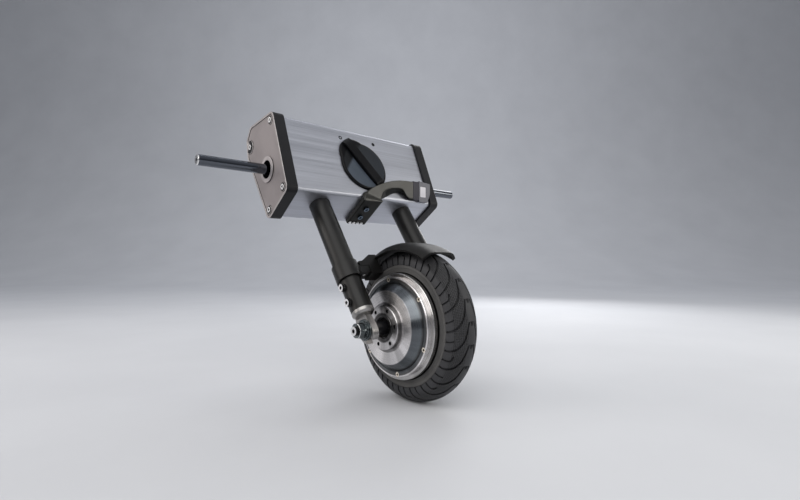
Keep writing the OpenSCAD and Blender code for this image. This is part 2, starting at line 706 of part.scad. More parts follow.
// Each wing is a box that stands on the clamp's lug, goes down beside the tyre and is open at the back.
module wing() difference() {
  translate([0, wing_half, 0]) rotate([90, 0, 0]) linear_extrude(2 * wing_half) polygon([
    [wing_in, wing_low], [wing_step, wing_low], [wing_step, lug_top], [wing_out, lug_top],
    [wing_out, lug_top + 7], [lug_screw_x + 1, lug_top + 8], [wing_peak, wing_top], [wing_in, wing_top]
  ]);
  translate([0, wing_half + 1, 0]) rotate([90, 0, 0]) linear_extrude(2 * wing_half - fender_t) polygon([
    [wing_in + fender_t, wing_low + fender_t], [wing_step - fender_t, wing_low + fender_t],
    [wing_step - fender_t, wing_top - 8], [wing_peak - 1, wing_top - fender_t],
    [wing_in + fender_t, wing_top - fender_t]
  ]);
}
module fender() color("black") in_leg_frame() difference() {
  union() {
    translate([0, fork_rake, -fork_reach]) rotate([180 - fender_back, 0, 0]) rotate([0, 90, 0])
      rotate_extrude(angle = fender_back + fender_front, $fn = fn_round)
        polygon(concat(
          [for (x = fender_x) [crown(x, fender_r + fender_t), x]],
          [for (x = reversed(fender_x)) [crown(x * 0.999, fender_r) , x * (1 - fender_t / fender_half)]]
        ));
    for (side = [-1, 1]) right_or_left(side) wing();
  }
  for (side = [-1, 1]) translate([side * lug_screw_x, 0, lug_top - 1]) {
    cylinder(h = 60, r = lug_screw_r + run_gap, $fn = fn_small);
    translate([0, 0, pad_t + 1]) cylinder(h = 60, r = lug_head_r + 0.95, $fn = fn_small);
  }
}

// Rails of the arm. It lies flat under the housing, folds round the front edge and swings to the right.
// Its front stands upright while the housing's front face leans back.
// Each section has four corners: outer left, outer right, inner right and inner left.
function under(x, s, m) = [x, -foot_front + s, -foot_level - m];
function on_front(x, s, n) = concat([x], front_corner + s * face_dir + n * face_out);
function front_n(s) = (arm_front + s * sin(lean)) / cos(lean);
function upright(x, s) = on_front(x, s, front_n(s));
function on_wall(x, s) = on_front(x, s, seat_gap);
function strap(s) = [
  under(-strap_half, s, strap_t), under(strap_half, s, strap_t),
  under(strap_half, s, 0), under(-strap_half, s, 0)
];
// A section of the level end: distances back from its end and up the face for top, outer low and inner low.
function before_end(top, low, low_in) = [
  upright(arm_end - top[0], top[1]), upright(arm_end - low[0], low[1]),
  on_wall(arm_end - low_in[0], low_in[1]), on_wall(arm_end - top[0], top[1])
];
arm_sections = [
  strap(strap_end),
  strap(4),
  [
    under(-strap_half, -3, strap_t), under(strap_half, -3, strap_t),
    under(strap_half, 0, 0), under(-strap_half, 0, 0)
  ],
  [upright(-13, 4.5), on_front(17, -3.5, arm_front), on_wall(strap_half, -2), on_wall(-15, 8)],
  [upright(-2, under_knob), upright(21, 7.5), on_wall(26, 1), on_wall(-1, under_knob - 3)],
  [upright(18, under_knob + 8.5), upright(31, 13.8), on_wall(35, 5.2), on_wall(21, under_knob + 2)],
  [upright(37, under_knob + 13.9), upright(43, 16), on_wall(46, 10.5), on_wall(37, under_knob + 13.5)],
  before_end([31.5, 30.8], [29, 17], [28.5, 14.5]),
  before_end([21.5, 31.5], [22, 14.5], [17.5, 13]),
  before_end([15.5, 31.9], [17, 8.5], [11.5, 8]),
  before_end([8.5, 31.9], [10, 3.6], [6.5, 4.5]),
  before_end([0, 31.9], [0, 3], [0, 3.5])
];
function spline(a, b, c, d, t) =
  0.5 * (2 * b + (c - a) * t + (2 * a - 5 * b + 4 * c - d) * t * t + (3 * b - a - 3 * c + d) * t * t * t);
function at_section(i) = arm_sections[max(0, min(len(arm_sections) - 1, i))];
arm_rails = [
  arm_sections[0],
  for (i = [1:len(arm_sections) - 2], j = [0:arm_steps - 1])
    let (a = at_section(i - 1), b = at_section(i), c = at_section(i + 1), d = at_section(i + 2))
      [for (k = [0:3]) spline(a[k], b[k], c[k], d[k], j / arm_steps)],
  arm_sections[len(arm_sections) - 1]
];
// A four-cornered section with each corner rounded, but by less than half of a short side.
function pulled(a, b) = a + min(arm_round, 0.45 * norm(b - a)) * unit(b - a);
function ring(q) = [
  for (i = [0:3])
    let (b = q[i], a = pulled(b, q[(i + 3) % 4]), c = pulled(b, q[(i + 1) % 4]))
    for (t = [0:1 / 3:1]) (1 - t) * (1 - t) * a + 2 * t * (1 - t) * b + t * t * c
];
module loft(rings) {
  n = len(rings[0]);
  last = len(rings) - 1;
  polyhedron(
    points = [for (r = rings) each r],
    faces = concat(
      [[for (k = [0:n - 1]) k]],
      [for (i = [0:last - 1], k = [0:n - 1])
        let (a = i * n + k, b = i * n + (k + 1) % n) each [[a, a + n, b], [b, a + n, b + n]]],
      [[for (k = [n - 1:-1:0]) last * n + k]]
    )
  );
}
module arm() color("black") in_leg_frame() difference() {
  loft([for (q = arm_rails) ring(q)]);
  for (p = arm_screw_spots) translate([arm_screw_x, p, -foot_level - strap_t - 1])
    cylinder(h = strap_t + 2, r = arm_screw_r, $fn = fn_small);
  for (x = stud_x) translate([x, -foot_front + stud_s, -foot_level - strap_t - 1])
    cylinder(h = strap_t - 1, r = 1.5, $fn = fn_small);
}
module arm_screws() color("silver") in_leg_frame() {
  for (p = arm_screw_spots) translate([arm_screw_x, p, -foot_level - strap_t]) mirror([0, 0, 1])
    socket_screw(arm_head_r, arm_head_h, arm_screw_r, strap_t + wall + 5, 2.5);
  for (x = stud_x) translate([x, -foot_front + stud_s, -foot_level - strap_t]) mirror([0, 0, 1])
    socket_screw(2.4, 1.6, 1.5, strap_t - 2, 1);
}
module arm_nut_plate() color("lightgray") in_leg_frame() difference() {
  translate([arm_screw_x - 12, nut_plate_front, -foot_level + wall])
    cube([24, arm_screw_spots[1] + 10 - nut_plate_front, 5]);
  for (p = arm_screw_spots) translate([arm_screw_x, p, -foot_level])
    cylinder(h = 12, r = arm_screw_r, $fn = fn_small);
}

// An outline in front view, [right, up from the housing's front corner], cut off by the leaning front face.
module before_face(front) intersection() {
  in_leg_frame() translate([0, front_corner[0], front_corner[1]]) rotate([leg_tilt, 0, 0])
    translate([0, 60, 0]) rotate([90, 0, 0]) linear_extrude(60 + arm_front + connector_proud) polygon(front);
  on_face(0, seat_gap) translate([0, -100, 0]) cube([300, 300, 100]);
}
module plug_block() color("black") before_face([
  [arm_end, plug_low], [shell_start, plug_low], [shell_start, plug_high], [arm_end, plug_high]
]);
module connector_shell() color("whitesmoke") difference() {
  before_face([
    [shell_start, shell_low], [shell_end - 6.4, shell_low], [shell_end, shell_low + 15.7],
    [shell_end, shell_high - 4.1], [shell_end - 0.7, shell_high - 2.7], [shell_end - 3, shell_high - 2],
    [shell_end - 8, shell_high - 1.6], [shell_start, shell_high]
  ]);
  on_face(jack_s, jack_n) x_rod(shell_end - jack_deep, shell_end + 1, jack_r, fn_small);
}
module contact_pins() color("goldenrod") on_face(jack_s, jack_n) for (a = [45:90:315])
  translate([0, contact_ring * cos(a), contact_ring * sin(a)])
    x_rod(shell_end - jack_deep, shell_end - 2, contact_r, fn_small);

module axle() color("gainsboro") at_axle() difference() {
  union() {
    x_rod(-axle_half, axle_half, axle_r);
    x_rod(-bearing_x, bearing_x, centre_r);
  }
  for (side = [-1, 1]) x_rod(side * (axle_half - 5), side * (axle_half + 1), 3, 6);
}
module axle_spacers() color("black") at_axle() for (side = [-1, 1]) right_or_left(side)
  tube_x(bearing_x + bearing_w, tongue_in, centre_r, axle_r);
module tube_x(x0, x1, r, bore) difference() {
  x_rod(x0, x1, r);
  x_rod(x0 - 1, x1 + 1, bore);
}
module axle_washers() color("silver") at_axle() for (side = [-1, 1]) right_or_left(side) {
  tube_x(tongue_out, tongue_out + big_washer_t, 14, axle_r);
  tube_x(tongue_out + big_washer_t, nut_x, 12, axle_r);
}
module axle_nuts() color("gainsboro") at_axle() in_leg_frame() for (side = [-1, 1]) right_or_left(side)
  difference() {
    intersection() {
      x_rod(nut_x, nut_x + nut_h, nut_flats / sqrt(3), 6);
      translate([nut_x, 0, 0]) rotate([0, 90, 0])
        cylinder(h = nut_h, r1 = nut_flats / sqrt(3), r2 = nut_flats / 2 + 0.4, $fn = fn_round);
    }
    x_rod(nut_x - 1, nut_x + nut_h + 1, axle_r);
  }
module bearings() color("silver") at_axle() for (side = [-1, 1]) right_or_left(side) difference() {
  tube_x(bearing_x, bearing_x + bearing_w, bearing_r - run_gap, axle_r);
  for (x = [bearing_x, bearing_x + bearing_w]) tube_x(x - 0.8, x + 0.8, 11.8, 8.6);
}

module stator_shape() difference() {
  union() {
    circle(r = stator_r - 18, $fn = fn_round);
    for (i = [0:stator_teeth - 1]) rotate(i * 360 / stator_teeth) {
      translate([0, -3]) square([stator_r - 2, 6]);
      intersection() {
        difference() {
          circle(r = stator_r, $fn = fn_round);
          circle(r = stator_r - 2.2, $fn = fn_round);
        }
        translate([0, -7.6]) square([stator_r + 2, 15.2]);
      }
    }
  }
  circle(r = centre_r, $fn = fn_round);
  for (i = [0:5]) rotate(i * 60) translate([24, 0]) circle(r = 7.5, $fn = fn_small);
}
module stator_core() color("dimgray") at_axle() along_x(-stator_half, 2 * stator_half) stator_shape();
module stator_windings() color("chocolate") at_axle()
for (i = [0:stator_teeth - 1]) rotate([i * 360 / stator_teeth, 0, 0])
  difference() {
    translate([-stator_half - 4, stator_r - 15, -5.6]) cube([2 * stator_half + 8, 12, 11.2]);
    translate([-stator_half, stator_r - 16, -3]) cube([2 * stator_half, 14, 6]);
  }
module rotor_magnets() color("gray") at_axle() along_x(-stator_half - 1, 2 * stator_half + 2) difference() {
  circle(r = can_r, $fn = fn_round);
  circle(r = can_r - magnet_t, $fn = fn_round);
  for (i = [0:magnets - 1]) rotate(i * 360 / magnets)
    translate([can_r - magnet_t - 1, -0.6]) square([magnet_t - 0.2, 1.2]);
}
function both_sides(p) = concat(p, [for (q = reversed(p)) [q[0], -q[1]]]);
module rotor_rim() color("silver") at_axle() difference() {
  x_turned() polygon(both_sides([
    [can_r, cover_in], [rim_r - 1, cover_in], [rim_r, cover_in - 1], [rim_r, cover_in - 6.2],
    [rim_r - 0.8, cover_in - 7], [seat_r, cover_in - 9]
  ]));
  cover_holes(cover_in - 8, cover_in + 1, 2);
}
module cover_holes(x0, x1, r) for (side = [-1, 1], i = [0:cover_screws - 1])
  rotate([cover_turn + i * 360 / cover_screws, 0, 0]) translate([0, 0, cover_screw_r])
    x_rod(side * x0, side * x1, r, fn_small);
module hub_cover(side) color("gainsboro") at_axle() right_or_left(side) difference() {
  x_turned() polygon([
    [cover_r, cover_in], [cover_r, cover_ring_x - 0.8], [cover_r - 0.8, cover_ring_x],
    [cover_screw_r - 3.2, cover_ring_x], [cover_screw_r - 3.6, cover_ring_x - 1.3],
    [cover_screw_r - 4.4, cover_ring_x - 1.3], [cover_screw_r - 5.2, cover_ring_x - 0.3],
    [49.8, disc_x], [boss_r + 3.5, disc_x], [boss_r + 3.5, disc_x + 1.2], [boss_r, disc_x + 1.2],
    [boss_r, boss_x - 1], [boss_r - 1, boss_x],
    [bearing_r + 4.5, boss_x], [bearing_r + 4, boss_x + 0.7], [bearing_r + 1, boss_x + 0.7],
    [bearing_r, boss_x - 0.3], [bearing_r, bearing_x - seat_gap],
    [centre_r + 2, bearing_x - seat_gap], [centre_r + 2, bearing_x - 3],
    [24, bearing_x - 3], [27, disc_x - 5],
    [47, disc_x - 5], [54.5, 36], [55.5, cover_in - 3], [can_r, cover_in - 3], [can_r, cover_in]
  ]);
  cover_holes(cover_in - 1, cover_ring_x + 1, 2.5);
  cover_holes(cover_ring_x - 2.6, cover_ring_x + 1, 3.3);
  for (i = [0:5]) rotate([boss_hole_turn + i * 60, 0, 0]) translate([0, 0, boss_hole_ring])
    x_rod(boss_x - 3, boss_x + 1, boss_hole_r, fn_small);
}
module hub_cover_left() hub_cover(-1);
module hub_cover_right() hub_cover(1);
module cover_screw_set() color("goldenrod") at_axle() for (side = [-1, 1]) right_or_left(side)
  for (i = [0:cover_screws - 1]) rotate([cover_turn + i * 360 / cover_screws, 0, 0])
    translate([cover_ring_x - 2.6, 0, cover_screw_r]) rotate([0, 90, 0]) {
      difference() {
        cylinder(h = 2.4, r = 3.3, $fn = fn_small);
        translate([0, 0, 1]) cylinder(h = 2, r = 1.6, $fn = 6);
      }
      translate([0, 0, cover_in - cover_ring_x - 4.9])
        cylinder(h = cover_ring_x - cover_in + 4.9, r = 2, $fn = fn_small);
    }
tyre_outer = [
  [0, 23.8], [5.5, 24.4], [11.5, 24.5], [17.9, 24.1], [23.5, 22.9],
  [29.5, 20], [34.5, 15.5], [38.5, 10], [40.5, 5]
];
tyre_inner = [[0, 18.6], [6, 18.8], [14, 19.2], [21, 18], [27, 15], [32, 10], [34.5, 4]];
tyre_grow = (tyre_r - seat_r) / 41;
function tyre_point(p) = [seat_r + p[0] * tyre_grow, p[1] * tyre_w / 49];
module tyre() color("dimgray") at_axle() x_turned() polygon(concat(
  both_sides([for (p = tyre_outer) tyre_point(p)]),
  reversed(both_sides([for (p = tyre_inner) tyre_point(p)]))
));

housing();
end_cap_left();
end_cap_right();
cap_seal_left();
cap_seal_right();
end_screws_left();
end_screws_right();
pin_bush_left();
pin_bush_right();
docking_pin_left();
docking_pin_right();
pin_rack_left();
pin_rack_right();
pin_carrier_left();
pin_carrier_right();
carrier_screws_left();
carrier_screws_right();
knob();
knob_spindle();
drive_pinion();
spindle_bush();
spindle_clip();
guide_plate();
guide_posts();
controller_plate();
controller_board();
leg_socket_left();
leg_socket_right();
socket_bolts();
upper_leg_left();
upper_leg_right();
lower_leg_left();
lower_leg_right();
leg_screws_left();
leg_screws_right();
axle_tongue_left();
axle_tongue_right();
fender_clamp_left();
fender_clamp_right();
clamp_screws();
fender();
arm();
arm_screws();
arm_nut_plate();
plug_block();
connector_shell();
contact_pins();
axle();
axle_nuts();
axle_washers();
axle_spacers();
bearings();
stator_core();
stator_windings();
rotor_rim();
rotor_magnets();
hub_cover_left();
hub_cover_right();
cover_screw_set();
tyre();
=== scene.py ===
# %% [markdown]
# # A clip-on drive wheel, dressed in Blender
#
# The frame holds the solid parts of a powered drive wheel for a wheelchair: a hub-motor wheel in a
# two-leg fork, hung from a brushed aluminium housing with two docking pins. This notebook keeps
# those parts where they are, gives each one its real finish, and models what a solid part is too
# plain for, such as the tyre's tread.

# %% Load the frame
import json
import math

import bmesh
import bpy
from mathutils import Matrix, Vector


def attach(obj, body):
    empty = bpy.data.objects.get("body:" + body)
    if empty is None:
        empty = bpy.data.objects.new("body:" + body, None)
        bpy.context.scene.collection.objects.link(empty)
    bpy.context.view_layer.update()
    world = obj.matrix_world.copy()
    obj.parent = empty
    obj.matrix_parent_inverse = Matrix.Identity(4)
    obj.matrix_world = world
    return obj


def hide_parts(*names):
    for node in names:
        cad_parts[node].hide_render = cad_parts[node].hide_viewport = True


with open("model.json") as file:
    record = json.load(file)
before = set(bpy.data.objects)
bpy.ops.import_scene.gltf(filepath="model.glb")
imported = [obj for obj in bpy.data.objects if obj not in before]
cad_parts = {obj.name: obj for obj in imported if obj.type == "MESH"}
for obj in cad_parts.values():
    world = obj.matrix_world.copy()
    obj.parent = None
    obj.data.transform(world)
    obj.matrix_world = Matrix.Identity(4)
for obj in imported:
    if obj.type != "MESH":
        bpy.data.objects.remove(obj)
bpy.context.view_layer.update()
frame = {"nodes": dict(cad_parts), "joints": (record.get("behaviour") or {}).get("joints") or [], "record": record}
cad = frame["nodes"]
print("parts in the frame:", len(cad))

# %% [markdown]
# ## Sizes and places
#
# Sizes are written in millimetres, as on a drawing, and turned into metres. The legs lean back
# from the vertical, and the housing's front face leans a little more, so both get a matrix of
# their own. A point on a tilted part can then be given in that part's own directions. `CROWN_R` is
# the radius of the tyre's crown, on which the wheel stands. Points closer than `TOUCH` are one.

# %% Millimetres, the legs' frame and the front face's frame
MM = 0.001
LEG_TILT = math.radians(35.3)
FACE_LEAN = math.radians(13.8)
FACE_CORNER = Vector((0, -27, -60.5)) * MM
CROWN_R = 107 * MM
TOUCH = 1e-6
ALONG_X = Vector((1, 0, 0))

joint = {j["name"]: j for j in frame["joints"]}
axle = Vector(joint["wheel_spin"]["pos_m"])
knob_centre = Vector(joint["knob_turn"]["pos_m"])
leg_frame = Matrix.Rotation(-LEG_TILT, 4, "X")
face_frame = leg_frame @ Matrix.Translation(FACE_CORNER) @ Matrix.Rotation(math.pi / 2 + FACE_LEAN, 4, "X")
leg_up = (leg_frame.to_3x3() @ Vector((0, 0, 1))).normalized()
face_out = (face_frame.to_3x3() @ Vector((0, 0, 1))).normalized()
print("axle at", [round(v, 4) for v in axle], "knob at", [round(v, 4) for v in knob_centre])

# %% [markdown]
# ## Camera
#
# The photograph was taken from the left and a little below the housing, with a short lens. The
# camera stands at the place from which the pins, the wheel and the legs line up as they do there.

# %% Camera
CAMERA_AT = Vector((-454.5, -632.7, -134.5)) * MM
CAMERA_YAW = math.radians(41.83)
CAMERA_PITCH = math.radians(1.39)
FOCAL_LENGTH = 20.78
SENSOR_WIDTH = 36

lens = bpy.data.cameras.new("camera")
lens.lens = FOCAL_LENGTH
lens.sensor_width = SENSOR_WIDTH
camera = bpy.data.objects.new("camera", lens)
camera.location = CAMERA_AT
camera.rotation_euler = (math.pi / 2 + CAMERA_PITCH, 0, -CAMERA_YAW)
bpy.context.scene.collection.objects.link(camera)
bpy.context.scene.camera = camera
print("camera turned", round(math.degrees(CAMERA_YAW), 1), "degrees from straight ahead")

# %% [markdown]
# ## Floor and backdrop
#
# A studio shot stands the object on a sheet that curves up behind it, so that no edge shows. One
# strip of faces, extruded along a quarter circle, gives that sheet. It is turned to face the camera,
# and its sizes are in metres.

# %% Floor
FLOOR_Z = axle.z - CROWN_R
BACKDROP_HALF_WIDTH = 9
BACKDROP_START = -6
BACKDROP_FLAT = 8.5
BACKDROP_STEPS = 16
BACKDROP_STEP_LENGTH = 0.25
BACKDROP_WALL = 5


def finish_bmesh(bm, name, material=None, smooth=True):
    bmesh.ops.recalc_face_normals(bm, faces=bm.faces[:])
    mesh = bpy.data.meshes.new(name)
    bm.to_mesh(mesh)
    bm.free()
    if material:
        mesh.materials.append(material)
    if smooth:
        mesh.shade_smooth()
    else:
        mesh.shade_flat()
    piece = bpy.data.objects.new(name, mesh)
    bpy.context.scene.collection.objects.link(piece)
    return piece


def move_grown(bm, grown, move):
    verts = [g for g in grown if isinstance(g, bmesh.types.BMVert)]
    bmesh.ops.translate(bm, verts=verts, vec=move)


def extrude_edges(bm, edges, move):
    grown = bmesh.ops.extrude_edge_only(bm, edges=edges)["geom"]
    move_grown(bm, grown, move)
    return [g for g in grown if isinstance(g, bmesh.types.BMEdge)]


bm = bmesh.new()
edge = [
    bmesh.ops.create_vert(bm, co=(x, BACKDROP_START, FLOOR_Z))["vert"][0]
    for x in (-BACKDROP_HALF_WIDTH, BACKDROP_HALF_WIDTH)
]
row = extrude_edges(bm, [bm.edges.new(edge)], (0, BACKDROP_FLAT, 0))
for step in range(BACKDROP_STEPS):
    angle = math.radians(90) * (step + 0.5) / BACKDROP_STEPS
    rise = BACKDROP_STEP_LENGTH * Vector((0, math.cos(angle), math.sin(angle)))
    row = extrude_edges(bm, row, rise)
extrude_edges(bm, row, (0, 0, BACKDROP_WALL))
bmesh.ops.rotate(bm, verts=bm.verts[:], cent=axle, matrix=Matrix.Rotation(-CAMERA_YAW, 3, "Z"))
floor = finish_bmesh(bm, "floor")
print("floor at", round(FLOOR_Z, 4))

# %% [markdown]
# ## Node helpers
#
# Every finish is a small node tree: a pattern placed on the object's own coordinates, then a ramp
# for colour or roughness, then a bump. These helpers keep each finish short. The frame's own flat
# colours step aside first, because they carry the names that the finishes need. `feeding` gives
# what is linked to a socket now, so that a later step can build on it.

# %% Node helpers
finishes = {}
for flat in list(bpy.data.materials):
    flat.name = "flat_" + flat.name


def new_finish(name, colour, metal=0.0, rough=0.5, **sockets):
    material = bpy.data.materials.new(name)
    finishes[name] = material
    material.use_nodes = True
    shader = material.node_tree.nodes["Principled BSDF"]
    shader.inputs["Base Color"].default_value = (*colour, 1)
    shader.inputs["Metallic"].default_value = metal
    shader.inputs["Roughness"].default_value = rough
    for socket, value in sockets.items():
        shader.inputs[socket.replace("_", " ")].default_value = value
    return material


def shader_of(material):
    return material.node_tree.nodes["Principled BSDF"]


def add(material, kind, **settings):
    node = material.node_tree.nodes.new(kind)
    for key, value in settings.items():
        setattr(node, key, value)
    return node


def link(material, a, b):
    material.node_tree.links.new(a, b)


def placed(material, scale=(1, 1, 1), at=(0, 0, 0), source="Object"):
    coordinates = add(material, "ShaderNodeTexCoord")
    mapping = add(material, "ShaderNodeMapping", vector_type="POINT")
    mapping.inputs["Location"].default_value = at
    mapping.inputs["Scale"].default_value = scale
    link(material, coordinates.outputs[source], mapping.inputs["Vector"])
    return mapping.outputs["Vector"]


def noise(material, where, scale, detail=3.0, rough=0.55):
    node = add(material, "ShaderNodeTexNoise")
    node.inputs["Scale"].default_value = scale
    node.inputs["Detail"].default_value = detail
    node.inputs["Roughness"].default_value = rough
    link(material, where, node.inputs["Vector"])
    return node.outputs["Fac"]


def ramp(material, value, stops):
    node = add(material, "ShaderNodeValToRGB")
    elements = node.color_ramp.elements
    elements[0].position, elements[1].position = stops[0][0], stops[-1][0]
    for place, _ in stops[1:-1]:
        elements.new(place)
    for element, (place, colour) in zip(elements, stops):
        element.color = (*colour, 1) if isinstance(colour, tuple) else (colour, colour, colour, 1)
    link(material, value, node.inputs["Fac"])
    return node.outputs["Color"]


def math_node(material, operation, a, b=None):
    node = add(material, "ShaderNodeMath", operation=operation)
    for socket, value in zip(node.inputs, (a, b)):
        if value is None:
            continue
        if isinstance(value, (int, float)):
            socket.default_value = value
        else:
            link(material, value, socket)
    return node.outputs[0]


def span(material, value, low, high, to_low=0.0, to_high=1.0):
    node = add(material, "ShaderNodeMapRange")
    for socket, number in zip(("From Min", "From Max", "To Min", "To Max"), (low, high, to_low, to_high)):
        node.inputs[socket].default_value = number
    link(material, value, node.inputs["Value"])
    return node.outputs["Result"]


def vector_node(material, operation, a, b=None, output=0):
    node = add(material, "ShaderNodeVectorMath", operation=operation)
    link(material, a, node.inputs[0])
    if b is not None:
        link(material, b, node.inputs[1])
    return node.outputs[output]


def scaled_colour(material, colour, factor):
    node = add(material, "ShaderNodeVectorMath", operation="SCALE")
    link(material, colour, node.inputs[0])
    link(material, factor, node.inputs["Scale"])
    return node.outputs[0]


def bump(material, height, distance, under=None):
    node = add(material, "ShaderNodeBump")
    node.inputs["Strength"].default_value = 1.0
    node.inputs["Distance"].default_value = distance
    link(material, height, node.inputs["Height"])
    if under is not None:
        link(material, under, node.inputs["Normal"])
    return node.outputs["Normal"]


def set_input(material, socket, output):
    link(material, output, shader_of(material).inputs[socket])


def feeding(material, socket):
    return shader_of(material).inputs[socket].links[0].from_socket


print("frame colours set aside:", len(bpy.data.materials))

# %% [markdown]
# ## Floor finish and studio light
#
# The floor is a pale matt sheet with a faint mottle, so that it never looks like a flat colour.
# Polished metal only looks like metal when it has something dark and something bright to reflect.
# So the sky is a gradient, bright overhead and dim towards the horizon, and soft lamps add
# highlights: a broad one to the upper left, a warm one from the left, one behind on the right and
# a weak one at the front. A last lamp hangs behind the object and only lights the sheet. Each
# lamp's row gives its place, size and energy.

# %% Floor finish
paper = new_finish("pale_backdrop", (0.62, 0.63, 0.65), rough=0.8)
mottle = noise(paper, placed(paper), 3.0, 5)
set_input(paper, "Base Color", ramp(paper, mottle, [(0.3, (0.60, 0.61, 0.635)), (0.7, (0.64, 0.65, 0.675))]))
floor.data.materials.append(paper)
print("floor finish", paper.name)

# %% Lamps
def soft_lamp(name, at, towards, size, power, colour=(1, 1, 1)):
    data = bpy.data.lights.new(name, "AREA")
    data.shape = "RECTANGLE"
    data.size, data.size_y = size
    data.energy = power
    data.color = colour
    lamp = bpy.data.objects.new(name, data)
    lamp.location = at
    lamp.rotation_euler = (Vector(towards) - Vector(at)).to_track_quat("-Z", "Y").to_euler()
    lamp.visible_camera = False
    bpy.context.scene.collection.objects.link(lamp)


TARGET = (0, -0.08, -0.12)
ahead = Vector((math.sin(CAMERA_YAW), math.cos(CAMERA_YAW), 0))
wash_at = axle + ahead * 1.2 + Vector((0, 0, 3.2))
wash_target = axle + ahead * 5.2 + Vector((0, 0, 1.2))
soft_lamp("key", (-1.2, -1.25, 1.35), TARGET, (2.7, 2.1), 33, (1.0, 0.985, 0.96))
soft_lamp("side", (-1.55, 0.8, 0.6), TARGET, (1.2, 1.2), 11, (1.0, 0.95, 0.91))
soft_lamp("rim", (1.3, 0.45, 0.7), TARGET, (0.7, 1.4), 10)
soft_lamp("fill", (1.3, -1.4, 0.5), TARGET, (0.8, 0.8), 9, (1.0, 0.97, 0.90))
soft_lamp("backdrop_wash", wash_at, wash_target, (3.0, 1.2), 58, (0.93, 0.95, 1.0))

# %% Sky
HORIZON = (0.12, (0.20, 0.21, 0.235))
ZENITH = (1.0, (0.86, 0.88, 0.93))
SKY_STRENGTH = 0.55

world = bpy.data.worlds.new("studio")
bpy.context.scene.world = world
world.use_nodes = True
sky = world.node_tree.nodes["Background"]
way = add(world, "ShaderNodeTexCoord")
axes = add(world, "ShaderNodeSeparateXYZ")
link(world, way.outputs["Generated"], axes.inputs[0])
link(world, ramp(world, axes.outputs["Z"], [HORIZON, ZENITH]), sky.inputs["Color"])
sky.inputs["Strength"].default_value = SKY_STRENGTH
bpy.context.scene.view_settings.view_transform = "Standard"

# %% [markdown]
# ## Brushed and anodised housing
#
# The extrusion is brushed along its length. Noise squeezed across the brush direction and
# stretched along it gives the hair lines, which change both the roughness and the height.

# %% Housing finish
def shades(colour, vary):
    return tuple(c * (1 - vary) for c in colour), tuple(min(1, c * (1 + vary)) for c in colour)


def brushed(name, colour, rough, grain, depth=0.00003, streak=0.06):
    material = new_finish(name, colour, metal=1.0, rough=rough)
    where = placed(material, scale=grain)
    hair = noise(material, where, 1.0, 4, 0.65)
    broad_grain = (grain[0] * 0.6, grain[1] * 0.12, grain[2] * 0.12)
    wide = noise(material, placed(material, scale=broad_grain), 1.0, 3)
    hair_share = math_node(material, "MULTIPLY", hair, 0.6)
    shade = math_node(material, "ADD", hair_share, math_node(material, "MULTIPLY", wide, 0.4))
    dark, light = shades(colour, streak)
    set_input(material, "Base Color", ramp(material, shade, [(0.38, dark), (0.62, light)]))
    set_input(material, "Roughness", span(material, shade, 0.38, 0.62, rough - 0.07, rough + 0.07))
    set_input(material, "Normal", bump(material, hair, depth))
    return material


HOUSING_GRAIN = (3.5, 620, 620)
housing_aluminium = brushed(
    "housing_aluminium", (0.50, 0.515, 0.565), 0.46, grain=HOUSING_GRAIN, depth=0.00008, streak=0.11)
print("finish", housing_aluminium.name)

# %% [markdown]
# ## Paint, plastic and rubber
#
# Powder coat shows a fine orange peel. Moulded plastic has a spark-eroded grain, finer and
# sharper. Rubber is duller and a little uneven in tone. All three are noise at the right scale, so
# one helper makes them. The numbers of a row are colour, roughness, grain per metre and depth. A
# finish goes on its part by name, and the ones that later cells use are kept in a variable too.

# %% Coatings
CLOUD_SCALE = 18


def coated(name, colour, rough, grain, depth, vary=0.25, metal=0.0, specular=0.5):
    material = new_finish(name, colour, metal=metal, rough=rough, Specular_IOR_Level=specular)
    where = placed(material)
    fine = noise(material, where, grain, 3, 0.6)
    cloud = noise(material, where, CLOUD_SCALE, 4, 0.6)
    low, high = shades(colour, vary)
    set_input(material, "Base Color", ramp(material, cloud, [(0.35, low), (0.65, high)]))
    set_input(material, "Roughness", span(material, cloud, 0.3, 0.7, rough - 0.05, rough + 0.07))
    set_input(material, "Normal", bump(material, fine, depth))
    return material


coated("cap_paint", (0.011, 0.011, 0.013), 0.48, 1400, 0.00005, specular=0.25)
# The caps' outer faces get a lighter, warm grey copy of the cap paint: a painted sheen, for the light they catch.
cap_face_painted_sheen = coated("cap_face_painted_sheen", (0.29, 0.26, 0.26), 0.42, 900, 0.00006, vary=0.1, metal=0.3)
# The raised rim is lighter still: a painted highlight.
cap_rim_painted_highlight = coated("cap_rim_painted_highlight", (0.42, 0.39, 0.385), 0.4, 900, 0.00006, vary=0.1, metal=0.4)
# The broken edges are worn to bright metal and made lighter still as a painted highlight line.
cap_worn_edge_highlight = coated("cap_worn_edge_highlight", (0.62, 0.60, 0.59), 0.3, 900, 0.00003, vary=0.1, metal=0.8)
coated("leg_paint", (0.006, 0.0055, 0.005), 0.36, 1100, 0.00004, specular=0.35)
coated("arm_paint", (0.014, 0.013, 0.009), 0.34, 1200, 0.00004, specular=0.5)
coated("bush_plastic", (0.40, 0.37, 0.37), 0.42, 1800, 0.00003, metal=0.4)
coated("knob_plastic", (0.003, 0.003, 0.004), 0.36, 1500, 0.00003, specular=0.14)
# A darker, duller copy of the arm paint for faces that point down: painted shade.
arm_under_painted_shade = coated("arm_under_painted_shade", (0.006, 0.006, 0.005), 0.45, 1200, 0.00004, specular=0.15)
